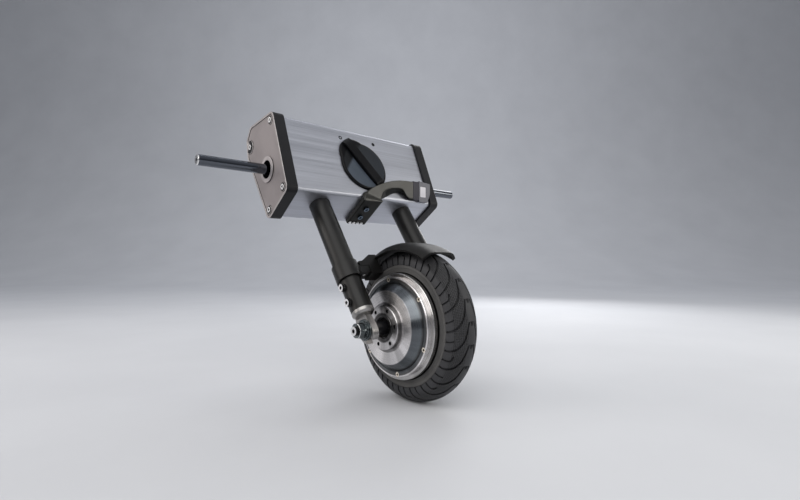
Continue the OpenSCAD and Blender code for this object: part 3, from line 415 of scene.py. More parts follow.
# A blue grey copy of the knob plastic for the dished fields: a painted reflection.
knob_dish_painted_reflection = coated("knob_dish_painted_reflection", (0.050, 0.062, 0.080), 0.5, 1700, 0.00004, vary=0.12, specular=0.25)
coated("fender_plastic", (0.007, 0.0065, 0.0062), 0.44, 1300, 0.00004, specular=0.25)
coated("plug_plastic", (0.022, 0.021, 0.033), 0.42, 1600, 0.00003, specular=0.3)
coated("shell_plastic", (0.085, 0.087, 0.11), 0.36, 1600, 0.00002, vary=0.05)
patch_plastic = coated("patch_plastic", (0.72, 0.70, 0.73), 0.5, 2200, 0.00002, vary=0.03)
# Black seal rubber, which the leg screws' sockets and head sides also get as painted shade.
seal_rubber = coated("seal_rubber", (0.006, 0.006, 0.006), 0.7, 1500, 0.00003, specular=0.2)
socket_shade = coated("socket_shade", (0.03, 0.021, 0.014), 0.5, 2000, 0.00001, specular=0.2)
# Dark print for the marks above the knob, also used as painted shade in screw sockets, on screw heads' sides, in
# holes and recesses, on the axle's shank and in the caps' step.
print_and_painted_shade = coated("print_and_painted_shade", (0.005, 0.005, 0.006), 0.5, 2000, 0.00001, specular=0.2)
coated("board_green", (0.02, 0.13, 0.06), 0.35, 300, 0.00005)
coated("spacer_black", (0.008, 0.008, 0.009), 0.3, 1300, 0.00002, specular=0.3)
tyre_rubber = coated("tyre_rubber", (0.070, 0.068, 0.066), 0.6, 700, 0.00025, vary=0.3, specular=0.35)
groove_rubber = coated("groove_rubber", (0.003, 0.003, 0.003), 0.8, 1500, 0.00004, specular=0.08)
print("finishes so far:", len(finishes))

# %% [markdown]
# ## Machined and plated metal
#
# Parts turned on a lathe carry rings about their axis. The ring pattern comes from the distance to the axle, so it
# stays round on every face of the hub. The rings also stretch each highlight along the radius, which gives turned
# metal its light and dark rays, and a noise over the direction from the axle paints further light and dark rays
# into the colour, as painted highlight and shade. The hub's bore, step and edge groove are painted dark as shade,
# its cone and outer ring darker as a painted dark reflection, and its edge lighter as a painted highlight, so a
# ramp over the radius sets a tone for each zone. A zone is a list of pairs: a radius in millimetres, and a tone
# that the metal's colour is multiplied by.

# %% Turned finish
ZONE_REACH = 100


def axle_spoke(material, centre):
    parts = add(material, "ShaderNodeSeparateXYZ")
    link(material, placed(material, at=tuple(-c for c in centre)), parts.inputs[0])
    spoke = add(material, "ShaderNodeCombineXYZ")
    link(material, parts.outputs["Y"], spoke.inputs["Y"])
    link(material, parts.outputs["Z"], spoke.inputs["Z"])
    return parts.outputs["X"], spoke.outputs[0]


def turned(name, colour, rough, centre, pitch=2600, depth=0.000012, streak=0.08, zones=None, painted_rays=0.0,
           anisotropic=0.0):
    material = new_finish(name, colour, metal=1.0, rough=rough, Anisotropic=anisotropic)
    side, spoke = axle_spoke(material, centre)
    radius = vector_node(material, "LENGTH", spoke, output="Value")
    direction = vector_node(material, "NORMALIZE", spoke)
    line = add(material, "ShaderNodeTexNoise", noise_dimensions="1D")
    line.inputs["Scale"].default_value = pitch
    line.inputs["Detail"].default_value = 4
    place = math_node(material, "ADD", radius, math_node(material, "MULTIPLY", side, 0.6))
    link(material, place, line.inputs["W"])
    rings = line.outputs["Fac"]
    dark, light = shades(colour, streak)
    shade = ramp(material, rings, [(0.35, dark), (0.65, light)])
    if zones:
        share = span(material, radius, 0, ZONE_REACH * MM)
        tone = ramp(material, share, [(r / ZONE_REACH, tone) for r, tone in zones])
        shade = vector_node(material, "MULTIPLY", shade, tone)
    # Painted light and dark rays: a noise over the direction from the axle scales the colour.
    if painted_rays:
        spread = noise(material, direction, 2.6, 5, 0.55)
        rays = span(material, spread, 0.36, 0.64, 1 - painted_rays, 1 + painted_rays * 0.6)
        shade = scaled_colour(material, shade, rays)
    if anisotropic:
        to_world = add(material, "ShaderNodeVectorTransform", vector_type="VECTOR", convert_from="OBJECT",
                       convert_to="WORLD")
        link(material, direction, to_world.inputs[0])
        set_input(material, "Tangent", to_world.outputs[0])
    set_input(material, "Base Color", shade)
    set_input(material, "Roughness", span(material, rings, 0.3, 0.7, rough - 0.04, rough + 0.06))
    set_input(material, "Normal", bump(material, rings, depth))
    return material


# %% Metals
# The hub's tones: painted shade in the bore, at the step and in the groove, a painted dark reflection on the cone
# and the outer ring, and a painted highlight at the edge.
BORE_SHADE, BOSS, STEP_SHADOW = [(19, 0.12)], [(21, 0.8), (29.4, 0.85)], [(30, 0.35), (33.2, 0.4)]
DISC = [(33.8, 1.0), (49.4, 1.0)]
CONE_DARK_REFLECTION = [(50.2, (0.19, 0.21, 0.23)), (57, (0.22, 0.25, 0.27))]
GROOVE_SHADE, RING_DARK_REFLECTION = [(59.2, 0.10)], [(60.6, (0.17, 0.19, 0.2)), (65.6, 0.22)]
RIM_HIGHLIGHT = [(66, 1.2)]
HUB_PAINTED_TONES = BORE_SHADE + BOSS + STEP_SHADOW + DISC + CONE_DARK_REFLECTION + GROOVE_SHADE + RING_DARK_REFLECTION + RIM_HIGHLIGHT

turned("hub_aluminium", (0.68, 0.66, 0.66), 0.28, axle, depth=0.000003, zones=HUB_PAINTED_TONES, painted_rays=0.28,
       anisotropic=0.7)
# The rim also gets painted light and dark rays.
turned("rim_polish", (0.50, 0.49, 0.48), 0.24, axle, depth=0.000001, streak=0.03, painted_rays=0.2,
       anisotropic=0.3)
# The pins' dark base colour is a painted dark reflection, for polished steel that mirrors dark surroundings.
turned("pin_steel", (0.115, 0.125, 0.145), 0.10, (0, 0, 0), pitch=1500, depth=0.000002, streak=0.04)
turned("nut_steel", (0.12, 0.135, 0.14), 0.2, axle, depth=0.000004)
# A painted highlight: bright turned steel for the pins' tips, the nuts' chamfers and the axle's end face, where
# light catches them.
painted_highlight = turned("painted_highlight", (0.78, 0.78, 0.78), 0.22, axle, depth=0.000002)
brushed("tongue_steel", (0.36, 0.35, 0.34), 0.34, grain=(700, 60, 700), depth=0.00002)
blued_steel = brushed(
    "blued_steel", (0.10, 0.13, 0.17), 0.25, grain=(500, 500, 500), depth=0.00001, streak=0.12)
brushed("zinc_steel", (0.90, 0.90, 0.91), 0.45, grain=(400, 400, 400), depth=0.000004)
brushed("gear_steel", (0.42, 0.43, 0.45), 0.34, grain=(400, 400, 400), depth=0.00001)
brushed("carrier_aluminium", (0.6, 0.61, 0.63), 0.36, grain=(200, 700, 700))
brushed("bush_bronze", (0.5, 0.33, 0.16), 0.42, grain=(600, 600, 600))
brushed("contact_brass", (0.75, 0.56, 0.25), 0.25, grain=(400, 400, 400))
brushed("screw_brass", (0.86, 0.78, 0.66), 0.28, grain=(500, 500, 500), depth=0.000004)
brushed("core_steel", (0.16, 0.16, 0.17), 0.5, grain=(2500, 60, 60))
brushed("winding_copper", (0.6, 0.27, 0.12), 0.35, grain=(40, 1500, 1500))
brushed("magnet_nickel", (0.5, 0.5, 0.52), 0.3, grain=(200, 200, 200))
print("finishes so far:", len(finishes))

# %% [markdown]
# ## Dress the solid parts
#
# The record names a finish for each part, and a loop puts the material of that name on it.

# %% Assign the finishes
for part in frame["record"]["subparts"]:
    node = cad[part["node"]]
    node.data.materials.clear()
    node.data.materials.append(finishes[part["material_slot"]])

# %% [markdown]
# ## Broken edges
#
# No real edge is perfectly sharp: castings have a radius, and turned parts get a small chamfer.
# A CAD mesh is loose triangles, so it is copied, merged, and its flat faces are dissolved into
# whole ones. Then a bevel can run along each edge where two faces meet at a clear angle. The copy
# stands for the CAD part and rides on the same body. `EDGES` gives each bevel's width in
# millimetres. The arm has none, and only gets its faces smoothed.

# %% Broken edges
BODY_OF = {part: body for body, parts in frame["record"]["behaviour"]["bodies"].items() for part in parts}
SLOT_OF = {part["node"]: part["material_slot"] for part in frame["record"]["subparts"]}
FLAT_ANGLE = 0.4
EDGE_ANGLE = 32


def merged_copy(name):
    bm = bmesh.new()
    bm.from_mesh(cad[name].data)
    bmesh.ops.remove_doubles(bm, verts=bm.verts[:], dist=TOUCH)
    bmesh.ops.dissolve_limit(bm, angle_limit=math.radians(FLAT_ANGLE), verts=bm.verts[:], edges=bm.edges[:])
    return bm


def bevel_edges(bm, edges, width, segments, clamp=False):
    bmesh.ops.bevel(bm, geom=edges, offset=width * MM, offset_type="OFFSET", affect="EDGES",
                    segments=segments, profile=0.5, material=-1, clamp_overlap=clamp)


def edged(name, width, angle=EDGE_ANGLE):
    bm = merged_copy(name)
    if width:
        sharp = [e for e in bm.edges if e.is_manifold and e.calc_face_angle() > math.radians(angle)]
        bevel_edges(bm, sharp, width, 2, clamp=True)
        bmesh.ops.remove_doubles(bm, verts=bm.verts[:], dist=TOUCH)
    piece = finish_bmesh(bm, name + "_edged", finishes[SLOT_OF[name]])
    piece.data.set_sharp_from_angle(angle=math.radians(angle))
    piece.modifiers.new("even_normals", "WEIGHTED_NORMAL").keep_sharp = True
    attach(piece, BODY_OF[name])
    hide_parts(name)
    return piece


EDGES = {
    "end_cap_left": 0.7, "end_cap_right": 0.7, "pin_bush_left": 0.6, "pin_bush_right": 0.6, "knob": 0.45,
    "fender_clamp_left": 0.9, "fender_clamp_right": 0.9, "axle_tongue_left": 0.7, "axle_tongue_right": 0.7,
    "lower_leg_left": 0.5, "lower_leg_right": 0.5, "plug_block": 1.0, "connector_shell": 1.1, "fender": 0.7,
    "hub_cover_left": 0.25, "hub_cover_right": 0.25, "rotor_rim": 0.4, "axle_nuts": 0.5, "axle_washers": 0.3,
    "leg_screws_left": 0.35, "leg_screws_right": 0.35, "end_screws_left": 0.35, "end_screws_right": 0.35,
    "arm_screws": 0.3, "cover_screw_set": 0.25, "axle": 0.5, "bearings": 0.3, "docking_pin_left": 0.25,
    "docking_pin_right": 0.25,
}
edged_pieces = {name: edged(name, width) for name, width in EDGES.items()}
edged_pieces["arm"] = edged("arm", 0, angle=50)
print("edged", len(edged_pieces), "parts,", sum(len(o.data.polygons) for o in edged_pieces.values()), "faces")

# %% [markdown]
# Some parts show more than one finish. The end caps' outer faces get a lighter, warm grey copy of the cap paint as
# a painted sheen, their raised rims a painted highlight, and their broken edges, worn to bright metal, a painted
# highlight line. The knob's two dished fields get a softer blue grey than its bar, as a painted reflection. A
# further material goes on the faces that point the right way and lie in the right place. `facing_x` is near one
# where a face looks along the pins' axis, and `out_x` is its distance from the middle.

# %% Second finishes
def second_finish(piece, material, test):
    piece.data.materials.append(material)
    picked = [face for face in piece.data.polygons if test(face)]
    for face in picked:
        face.material_index = len(piece.data.materials) - 1
    print(piece.name, "second finish on", len(picked), "faces")


def island_centres(name):
    bm = merged_copy(name)
    waiting, centres = set(bm.verts), []
    while waiting:
        stack = [waiting.pop()]
        island = list(stack)
        while stack:
            near = {v for e in stack.pop().link_edges for v in e.verts} & waiting
            waiting -= near
            stack.extend(near)
            island.extend(near)
        centres.append(sum((v.co for v in island), Vector()) / len(island))
    bm.free()
    return centres


def off_axis(point, spots, axis):
    return min(((point - spot) - (point - spot).dot(axis) * axis).length for spot in spots)


def facing_x(face):
    return abs(face.normal.x)


def out_x(face):
    return abs(face.center.x)


# %% End caps and pin tips
CAP_FACE_X = 148 * MM
CAP_STEP_X = 149.2 * MM
CAP_RIM_X = 149.4 * MM
PIN_TIP_X = 248.6 * MM
SCREW_SHADE_R = 5.6 * MM
for side in ("left", "right"):
    cap = edged_pieces["end_cap_" + side]
    spots = island_centres("end_screws_" + side)

    # Round each screw the face keeps the dark cap paint, as painted shade round the head.
    def on_cap(face, beyond=CAP_FACE_X):
        return out_x(face) > beyond and off_axis(face.center, spots, ALONG_X) > SCREW_SHADE_R

    # The outer faces get the painted sheen, the raised rim a painted highlight, and the broken edges, worn to
    # bright metal, a painted highlight line.
    second_finish(cap, cap_face_painted_sheen, lambda face: facing_x(face) > 0.9 and on_cap(face))
    second_finish(cap, cap_rim_painted_highlight, lambda face: facing_x(face) > 0.9 and on_cap(face, CAP_RIM_X))
    second_finish(cap, cap_worn_edge_highlight, lambda face: 0.15 < facing_x(face) < 0.9 and on_cap(face))
    # The wall of the step inside the rim is painted dark, as the shadow in the recess.
    second_finish(cap, print_and_painted_shade, lambda face: (
        facing_x(face) < 0.93 and CAP_FACE_X < out_x(face) < CAP_STEP_X))
    # The pins' tips get the painted highlight.
    second_finish(edged_pieces["docking_pin_" + side], painted_highlight, lambda face: out_x(face) > PIN_TIP_X)

# %% [markdown]
# The knob's dished fields carry a painted reflection. It is painted dark towards the nose, and a painted shadow of
# the bar makes the field on the bar's right darker than the other. Each fade is a direction, the two distances in
# millimetres between which it runs, and a tone for each end.

# %% Knob and arm
DISH_R = 39.6 * MM
DISH_FLOOR = 1.5 * MM
DISH_TOP = 4.6 * MM
NOSE_TURN = math.radians(34.5)
face_up = face_out.cross(ALONG_X)
nose_way = math.cos(NOSE_TURN) * face_up - math.sin(NOSE_TURN) * ALONG_X
bar_right = nose_way.cross(face_out)
DISH_PAINTED_SHADE_FADES = (
    (nose_way - 0.35 * bar_right, 22, 26, 1.0, 0.08),
    (bar_right, -3, 3, 1.25, 0.32),
)


def in_dish(face):
    away = face.center - knob_centre
    height = away.dot(face_out)
    radius = (away - height * face_out).length
    return face.normal.dot(face_out) > 0.6 and radius < DISH_R and DISH_FLOOR < height < DISH_TOP


# The dished fields get the painted reflection.
second_finish(edged_pieces["knob"], knob_dish_painted_reflection, in_dish)
# The arm's downward faces get the painted shade.
second_finish(edged_pieces["arm"], arm_under_painted_shade, lambda face: face.normal.z < -0.3)
from_middle = placed(knob_dish_painted_reflection, at=tuple(-c for c in knob_centre))
for way, start, end, low, high in DISH_PAINTED_SHADE_FADES:
    along = add(knob_dish_painted_reflection, "ShaderNodeVectorMath", operation="DOT_PRODUCT")
    link(knob_dish_painted_reflection, from_middle, along.inputs[0])
    along.inputs[1].default_value = way
    fade = span(knob_dish_painted_reflection, along.outputs["Value"], start * MM, end * MM, low, high)
    set_input(knob_dish_painted_reflection, "Base Color", scaled_colour(knob_dish_painted_reflection, feeding(knob_dish_painted_reflection, "Base Color"), fade))

# %% [markdown]
# A socket screw reads as a bright ring round a dark hexagon. Each screw's axis runs through the middle of its own
# island of faces, so a face's distance to that axis tells the socket, the bright top of the head and the shaded
# side apart, and the socket and the side get a dark material as painted shade. Small holes in the bush, the hub
# covers and the axle are painted dark inside as shade in the same way.

# %% Screws and small holes
KEY_EDGE = 0.3
HEAD_MARGIN = 1.03
BUSH_RECESS_R = 13.7 * MM
BOSS_HOLES = 6
BOSS_HOLE_TURN = 21.5
BOSS_HOLE_AT_R = 24.3 * MM
BOSS_HOLE_R = 2.95 * MM
COVER_SCREW_HOLE_R = 3.62 * MM


def farthest(piece, face, spots):
    return max(off_axis(piece.data.vertices[i].co, spots, ALONG_X) for i in face.vertices)


def within(piece, face, spots, radius):
    return farthest(piece, face, spots) < radius


def shade_screws(name, key_r, head_r, shade):
    spots = island_centres(name)

    def shaded(face):
        reach = farthest(edged_pieces[name], face, spots)
        on_top = facing_x(face) > 0.3 and reach < head_r * HEAD_MARGIN * MM
        return reach < (key_r + KEY_EDGE) * MM or not on_top

    second_finish(edged_pieces[name], shade, shaded)


cover_spots = island_centres("cover_screw_set")
boss_holes = []
for i in range(BOSS_HOLES):
    turn = math.radians(BOSS_HOLE_TURN + 360 / BOSS_HOLES * i)
    boss_holes.append(axle + Matrix.Rotation(turn, 3, "X") @ Vector((0, 0, BOSS_HOLE_AT_R)))
# Screw sockets and head sides, the bush's wall and recess and the holes in the hub covers are painted dark as
# shade.
for side in ("left", "right"):
    shade_screws("leg_screws_" + side, key_r=2.5, head_r=5, shade=seal_rubber)
    shade_screws("end_screws_" + side, key_r=2, head_r=4.25, shade=print_and_painted_shade)
    bush = edged_pieces["pin_bush_" + side]
    second_finish(bush, print_and_painted_shade, lambda face: (
        facing_x(face) < 0.3 or within(bush, face, [Vector()], BUSH_RECESS_R)))
    cover = edged_pieces["hub_cover_" + side]
    second_finish(cover, print_and_painted_shade, lambda face: facing_x(face) < 0.97 and (
        within(cover, face, boss_holes, BOSS_HOLE_R) or within(cover, face, cover_spots, COVER_SCREW_HOLE_R)))
shade_screws("cover_screw_set", key_r=1.6, head_r=3.3, shade=socket_shade)

# %% Nuts, bearings and the axle's ends
ARM_BOLT_R = 5 * MM
BEARING_SEAL_R = 13 * MM
AXLE_FACE_DEPTH = 1.5 * MM
AXLE_CENTRE_R = 3.55 * MM

arm_spots = sorted(island_centres("arm_screws"), key=lambda spot: (leg_frame.inverted() @ spot).z)[-2:]
second_finish(edged_pieces["arm_screws"], blued_steel, lambda face: (
    off_axis(face.center, arm_spots, leg_up) < ARM_BOLT_R))
second_finish(edged_pieces["bearings"], seal_rubber, lambda face: (
    facing_x(face) > 0.3 and off_axis(face.center, [axle], ALONG_X) < BEARING_SEAL_R))
# The nuts' chamfers get a painted highlight.
second_finish(edged_pieces["axle_nuts"], painted_highlight, lambda face: 0.15 < facing_x(face) < 0.97)
stub = edged_pieces["axle"]
stub_end = max(abs(v.co.x) for v in stub.data.vertices) - AXLE_FACE_DEPTH
# The axle's end face gets a painted highlight, and its shank and the hole in its middle are painted dark as shade.
second_finish(stub, painted_highlight, lambda face: facing_x(face) > 0.3 and out_x(face) > stub_end)
second_finish(stub, print_and_painted_shade, lambda face: (
    out_x(face) < stub_end or within(stub, face, [axle], AXLE_CENTRE_R)))

# %% [markdown]
# ## Marks and the bare label place
#
# Above the knob a ring and a dot show which way draws the pins in and out. Each is a thin printed
# shape: a small profile, spun about the front face's normal. The connector has a pale patch where
# a label would be, which stays bare.

# %% Marks
def full_spin(points, centre, axis, steps, closed=False):
    bm = bmesh.new()
    verts = [bm.verts.new(point) for point in points]
    following = verts[1:] + verts[:1] if closed else verts[1:]
    for a, b in zip(verts, following):
        bm.edges.new((a, b))
    bmesh.ops.spin(bm, geom=bm.verts[:] + bm.edges[:], cent=centre, axis=axis, angle=math.tau, steps=steps,
                   use_merge=True)
    return bm


def spun_on_face(name, profile, x, up, steps=40):
    bm = full_spin([(r * MM, 0, out * MM) for r, out in profile], (0, 0, 0), (0, 0, 1), steps)
    bmesh.ops.remove_doubles(bm, verts=bm.verts[:], dist=TOUCH)
    place = face_frame @ Matrix.Translation(Vector((x, up, 0)) * MM)
    bmesh.ops.transform(bm, matrix=place, verts=bm.verts[:])
    piece = finish_bmesh(bm, name, print_and_painted_shade)
    piece.data.set_sharp_from_angle(angle=math.radians(40))
    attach(piece, "frame")
    return piece


MARK_X = 33.6
MARK_UP = 105.4
RING_PROFILE = [(1.6, 0), (1.7, 0.12), (3.2, 0.12), (3.3, 0), (1.6, 0)]
DOT_PROFILE = [(0, 0.16), (2.9, 0.16), (3.3, 0.02), (3.3, 0)]
ring_mark = spun_on_face("pin_out_mark", RING_PROFILE, -MARK_X, MARK_UP)
dot_mark = spun_on_face("pin_in_mark", DOT_PROFILE, MARK_X, MARK_UP)
print("marks", ring_mark.name, dot_mark.name)

# %% Bare label place
PATCH_X = (104, 117)
PATCH_Z = (-23.3, -5.4)
PATCH_THICK = 0.3
PATCH_CORNER = 1.5
PATCH_RIM = 0.1


def y_length(edge):
    return abs((edge.verts[0].co - edge.verts[1].co).y)


(x0, x1), (z0, z1) = PATCH_X, PATCH_Z
shell_front = min(v.co.y for v in cad["connector_shell"].data.vertices)
bm = bmesh.new()
bmesh.ops.create_cube(bm, size=1)
bmesh.ops.scale(bm, vec=((x1 - x0) * MM, PATCH_THICK * MM, (z1 - z0) * MM), verts=bm.verts[:])
bevel_edges(bm, [e for e in bm.edges if y_length(e) > PATCH_THICK / 2 * MM], PATCH_CORNER, 5)
bevel_edges(bm, [e for e in bm.edges if e.calc_face_angle(0) > 1 and y_length(e) < TOUCH], PATCH_RIM, 2)
bmesh.ops.translate(bm, vec=((x0 + x1) / 2 * MM, shell_front, (z0 + z1) / 2 * MM), verts=bm.verts[:])
patch = finish_bmesh(bm, "bare_label_place", patch_plastic)
patch.data.set_sharp_from_angle(angle=math.radians(30))
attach(patch, "frame")
print("shell front at", round(shell_front, 5))

# %% [markdown]
# ## Tyre
#
# The tread is cut while it is still flat, like a rubber mat, and then rolled on to the tyre. On the
# mat a groove is a plain bent strip, so a Boolean modifier can cut it cleanly, and the roll turns
# distance along the mat into an angle and distance across it into a place on the round shoulder.

# %% The mat and its rolling
TREAD_PITCHES = 23
SHOULDER_R = 84.4 * MM
SHOULDER_X = 24.2 * MM
MAT_THICK = 3.2 * MM
DEGREE_ALONG = CROWN_R * math.radians(1)
DEGREE_ACROSS = (CROWN_R - SHOULDER_R) * math.radians(1)
PITCH_ANGLE = 360 / TREAD_PITCHES


def rolled(point):
    angle = point.x / CROWN_R
    across = point.y / (CROWN_R - SHOULDER_R)
    side = SHOULDER_X * math.sin(across)
    radius = SHOULDER_R + (CROWN_R - SHOULDER_R) * math.cos(across)
    out = Vector((math.sin(across) / SHOULDER_X, math.cos(across) / (CROWN_R - SHOULDER_R))).normalized()
    radius += out.y * point.z
    return axle + Vector((-side - out.x * point.z, -radius * math.cos(angle), radius * math.sin(angle)))


print("mat length", round(360 * DEGREE_ALONG / MM), "mm, width", round(180 * DEGREE_ACROSS / MM), "mm")

# %% [markdown]
# A groove is a row of points along its middle, in degrees along the tyre and across it. Its width
# changes evenly from the first point to the last. A long groove, a short sipe and a nick near the
# crown make up each pitch, and every second sipe has a hook at its inner end. The same strips serve
# the other side, mirrored across the mat. A `CUT` gives the two widths and the depth.

# %% Groove cutters
LONG_GROOVE = [(23, 9), (21.4, 12), (19, 15.5), (16, 19), (12.6, 23.5), (9.6, 29), (7.2, 35.5), (5, 43),
               (3.2, 51.5), (1.9, 61), (0.9, 71), (0.3, 81), (0, 96)]
SIPE = [(7.4, 96), (7.7, 84), (8.2, 72), (9.4, 59)]
HOOK = SIPE[:-1] + [(8.8, 63), (10, 58), (12.2, 55.5), (13.6, 53)]
CROWN_NICK = [(4.5, 3.2), (7.5, 2.4)]
LONG_CUT = (1.9, 3.6, 2.7)
SIPE_CUT = (3.4, 1.8, 2.5)
NICK_CUT = (1.6, 1.8, 1.6)
CUT_HEADROOM = 1.5 * MM


def groove_strip(bm, path, cut, along, side):
    start_width, end_width, depth = (number * MM for number in cut)
    middle = [Vector(((along + a) * DEGREE_ALONG, side * b * DEGREE_ACROSS, 0)) for a, b in path]
    rails = []
    for i, point in enumerate(middle):
        ahead = (middle[min(i + 1, len(middle) - 1)] - middle[max(i - 1, 0)]).normalized()
        width = start_width + (end_width - start_width) * i / (len(middle) - 1)
        across = Vector((-ahead.y, ahead.x, 0)) * width / 2
        rails.append([bm.verts.new(point + k * across + Vector((0, 0, CUT_HEADROOM))) for k in (-1, 1)])
    faces = [bm.faces.new((a[0], a[1], b[1], b[0])) for a, b in zip(rails, rails[1:])]
    bmesh.ops.recalc_face_normals(bm, faces=faces)
    grown = bmesh.ops.extrude_face_region(bm, geom=faces)["geom"]
    move_grown(bm, grown, (0, 0, -CUT_HEADROOM - depth))


cutters = bmesh.new()
for pitch in range(-2, TREAD_PITCHES + 1):
    along = pitch * PITCH_ANGLE
    for side in (-1, 1):
        groove_strip(cutters, LONG_GROOVE, LONG_CUT, along, side)
        groove_strip(cutters, HOOK if pitch % 2 else SIPE, SIPE_CUT, along, side)
        groove_strip(cutters, CROWN_NICK, NICK_CUT, along, side)
cutter = finish_bmesh(cutters, "groove_cutters")
print("cutter faces", len(cutter.data.polygons))

# %% Cut the mat flat
ROWS_ALONG = TREAD_PITCHES * 10
ROWS_ACROSS = 30
bm = bmesh.new()
bmesh.ops.create_grid(bm, x_segments=ROWS_ALONG, y_segments=ROWS_ACROSS, size=0.5)
length = 360 * DEGREE_ALONG
bmesh.ops.scale(bm, vec=(length, 180 * DEGREE_ACROSS, 1), verts=bm.verts[:])
bmesh.ops.translate(bm, vec=(length / 2, 0, 0), verts=bm.verts[:])
move_grown(bm, bmesh.ops.extrude_face_region(bm, geom=bm.faces[:])["geom"], (0, 0, -MAT_THICK))
tread = finish_bmesh(bm, "tyre_tread", smooth=False)
cut = tread.modifiers.new("grooves", "BOOLEAN")
cut.operation = "DIFFERENCE"
cut.solver = "MANIFOLD"
cut.object = cutter
flat_mat = bpy.data.meshes.new_from_object(tread.evaluated_get(bpy.context.evaluated_depsgraph_get()))
tread.modifiers.clear()
tread.data = flat_mat
bpy.data.objects.remove(cutter)
print("mat faces after cutting", len(flat_mat.polygons))

# %% [markdown]
# Before the mat is rolled, its flat coordinates are kept as a UV map. The dimples between the
# grooves then follow the tread wherever it goes. The faces inside the grooves get a material of
# their own, because dust and shade keep them darker. The two ends of the mat lose their end faces
# and are merged, so that the ring has no seam.

# %% Roll the mat
GROOVE_TOP = -0.15 * MM
GROOVE_FOOT = -MAT_THICK + 0.1 * MM
SEAM_MERGE = 2e-5


def at_end(face):
    places = [v.co.x for v in face.verts]
    return max(places) < TOUCH or min(places) > length - TOUCH


bm = bmesh.new()
bm.from_mesh(flat_mat)
flat_uv = bm.loops.layers.uv.new("flat")
bmesh.ops.delete(bm, geom=[f for f in bm.faces if at_end(f)], context="FACES_ONLY")
bmesh.ops.triangulate(bm, faces=[f for f in bm.faces if len(f.verts) > 4])
for face in bm.faces:
    face.material_index = 1 if GROOVE_FOOT < face.calc_center_median().z < GROOVE_TOP else 0
    for loop in face.loops:
        loop[flat_uv].uv = (loop.vert.co.x / DEGREE_ALONG / PITCH_ANGLE, loop.vert.co.y / DEGREE_ACROSS / 90)
for vert in bm.verts:
    vert.co = rolled(vert.co)
bmesh.ops.remove_doubles(bm, verts=bm.verts[:], dist=SEAM_MERGE)
bmesh.ops.recalc_face_normals(bm, faces=bm.faces[:])
bm.to_mesh(flat_mat)
bm.free()
flat_mat.shade_smooth()
flat_mat.set_sharp_from_angle(angle=math.radians(35))
print("tread triangles", sum(len(p.vertices) - 2 for p in flat_mat.polygons))

# %% [markdown]
# The carcass under the tread is a turned shape: a profile of points given as distance from the
# middle and radius, spun about the axle. Its sidewall has a raised band under the tread's edge and
# thin moulded ribs beside the rim.

# %% Carcass
OUTSIDE = [(8, 102.4), (14.4, 98.5), (18.3, 93.9), (20.4, 89.2), (21.0, 84.3), (23.8, 83.9), (24.3, 83.2),
           (24.45, 80.8), (24.3, 79.6), (24.0, 79.2), (24.0, 78.6), (24.25, 78.3), (24.25, 77.7),
           (24.0, 77.4), (24.0, 76.9), (24.25, 76.6), (24.25, 76.0), (24.0, 75.7), (24.1, 74.6),
           (24.45, 74.2), (24.45, 73.6), (24.2, 72), (23.9, 69.5), (23.6, 66.6)]
INSIDE = [(17.5, 66.6), (17.8, 82), (14, 93), (8, 99.5)]
CROWN, CROWN_INSIDE = (0, 103.8), (0, 101)
CARCASS_STEPS = 160

right_half = OUTSIDE + INSIDE
left_half = [(-x, r) for x, r in reversed(right_half)]
profile = [CROWN] + right_half + [CROWN_INSIDE] + left_half
points = [axle + Vector((x, 0, r)) * MM for x, r in profile]
carcass = finish_bmesh(full_spin(points, axle, ALONG_X, CARCASS_STEPS, closed=True), "tyre_carcass")
carcass.data.set_sharp_from_angle(angle=math.radians(38))
for piece in (tread, carcass):
    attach(piece, "wheel")
    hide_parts("tyre")
print("carcass faces", len(carcass.data.polygons))

# %% [markdown]
# Tread rubber shows fine dimples in a band on each side of the crown. A voronoi pattern on the mat's own
# coordinates makes them, and two soft masks end each band. The band's edges are shares of the way from the crown
# to the shoulder. The pits are painted darker as shade, and the rubber between them a little lighter.

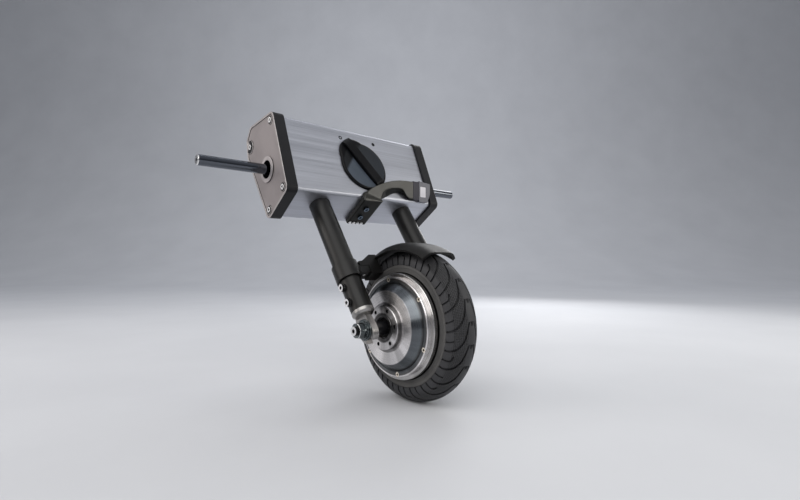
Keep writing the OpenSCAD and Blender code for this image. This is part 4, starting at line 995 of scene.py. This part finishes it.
# %% Tread finish
DIMPLE = 2.1 * MM
DIMPLE_DEPTH = 0.9 * MM
BAND_START = (0.14, 0.2)
BAND_END = (0.74, 0.64)
RUBBER_TONE, PIT_SHADE_TONE = 1.35, 0.15
RIM_SHADE_R = 74 * MM

tread_rubber = coated("tread_rubber", (0.024, 0.024, 0.026), 0.52, 1500, 0.00006, vary=0.2, specular=0.4)
dimples_per_uv = (PITCH_ANGLE * DEGREE_ALONG / DIMPLE, 90 * DEGREE_ACROSS / DIMPLE, 1)
where = placed(tread_rubber, scale=dimples_per_uv, source="UV")
dimples = add(tread_rubber, "ShaderNodeTexVoronoi", feature="F1")
dimples.inputs["Scale"].default_value = 1.0
dimples.inputs["Randomness"].default_value = 0.15
link(tread_rubber, where, dimples.inputs["Vector"])
across = add(tread_rubber, "ShaderNodeSeparateXYZ")
link(tread_rubber, placed(tread_rubber, source="UV"), across.inputs[0])
side_place = math_node(tread_rubber, "ABSOLUTE", across.outputs["Y"])
inner_edge = span(tread_rubber, side_place, *BAND_START)
outer_edge = span(tread_rubber, side_place, *BAND_END)
mask = math_node(tread_rubber, "MULTIPLY", inner_edge, outer_edge)
pits = math_node(tread_rubber, "MULTIPLY", mask, span(tread_rubber, dimples.outputs["Distance"], 0.42, 0.2))
grain = feeding(tread_rubber, "Normal")
height = math_node(tread_rubber, "SUBTRACT", 1.0, pits)
set_input(tread_rubber, "Normal", bump(tread_rubber, height, DIMPLE_DEPTH, under=grain))
# The pits are painted dark as shade.
tone = span(tread_rubber, pits, 0, 1, RUBBER_TONE, PIT_SHADE_TONE)
rubber = feeding(tread_rubber, "Base Color")
set_input(tread_rubber, "Base Color", scaled_colour(tread_rubber, rubber, tone))
tread.data.materials.clear()
tread.data.materials.append(tread_rubber)
tread.data.materials.append(groove_rubber)
carcass.data.materials.append(tyre_rubber)
# The sidewall beside the rim gets the dark groove rubber as painted shade.
second_finish(carcass, groove_rubber, lambda face: off_axis(face.center, [axle], ALONG_X) < RIM_SHADE_R)
print("tread finish", tread_rubber.name)
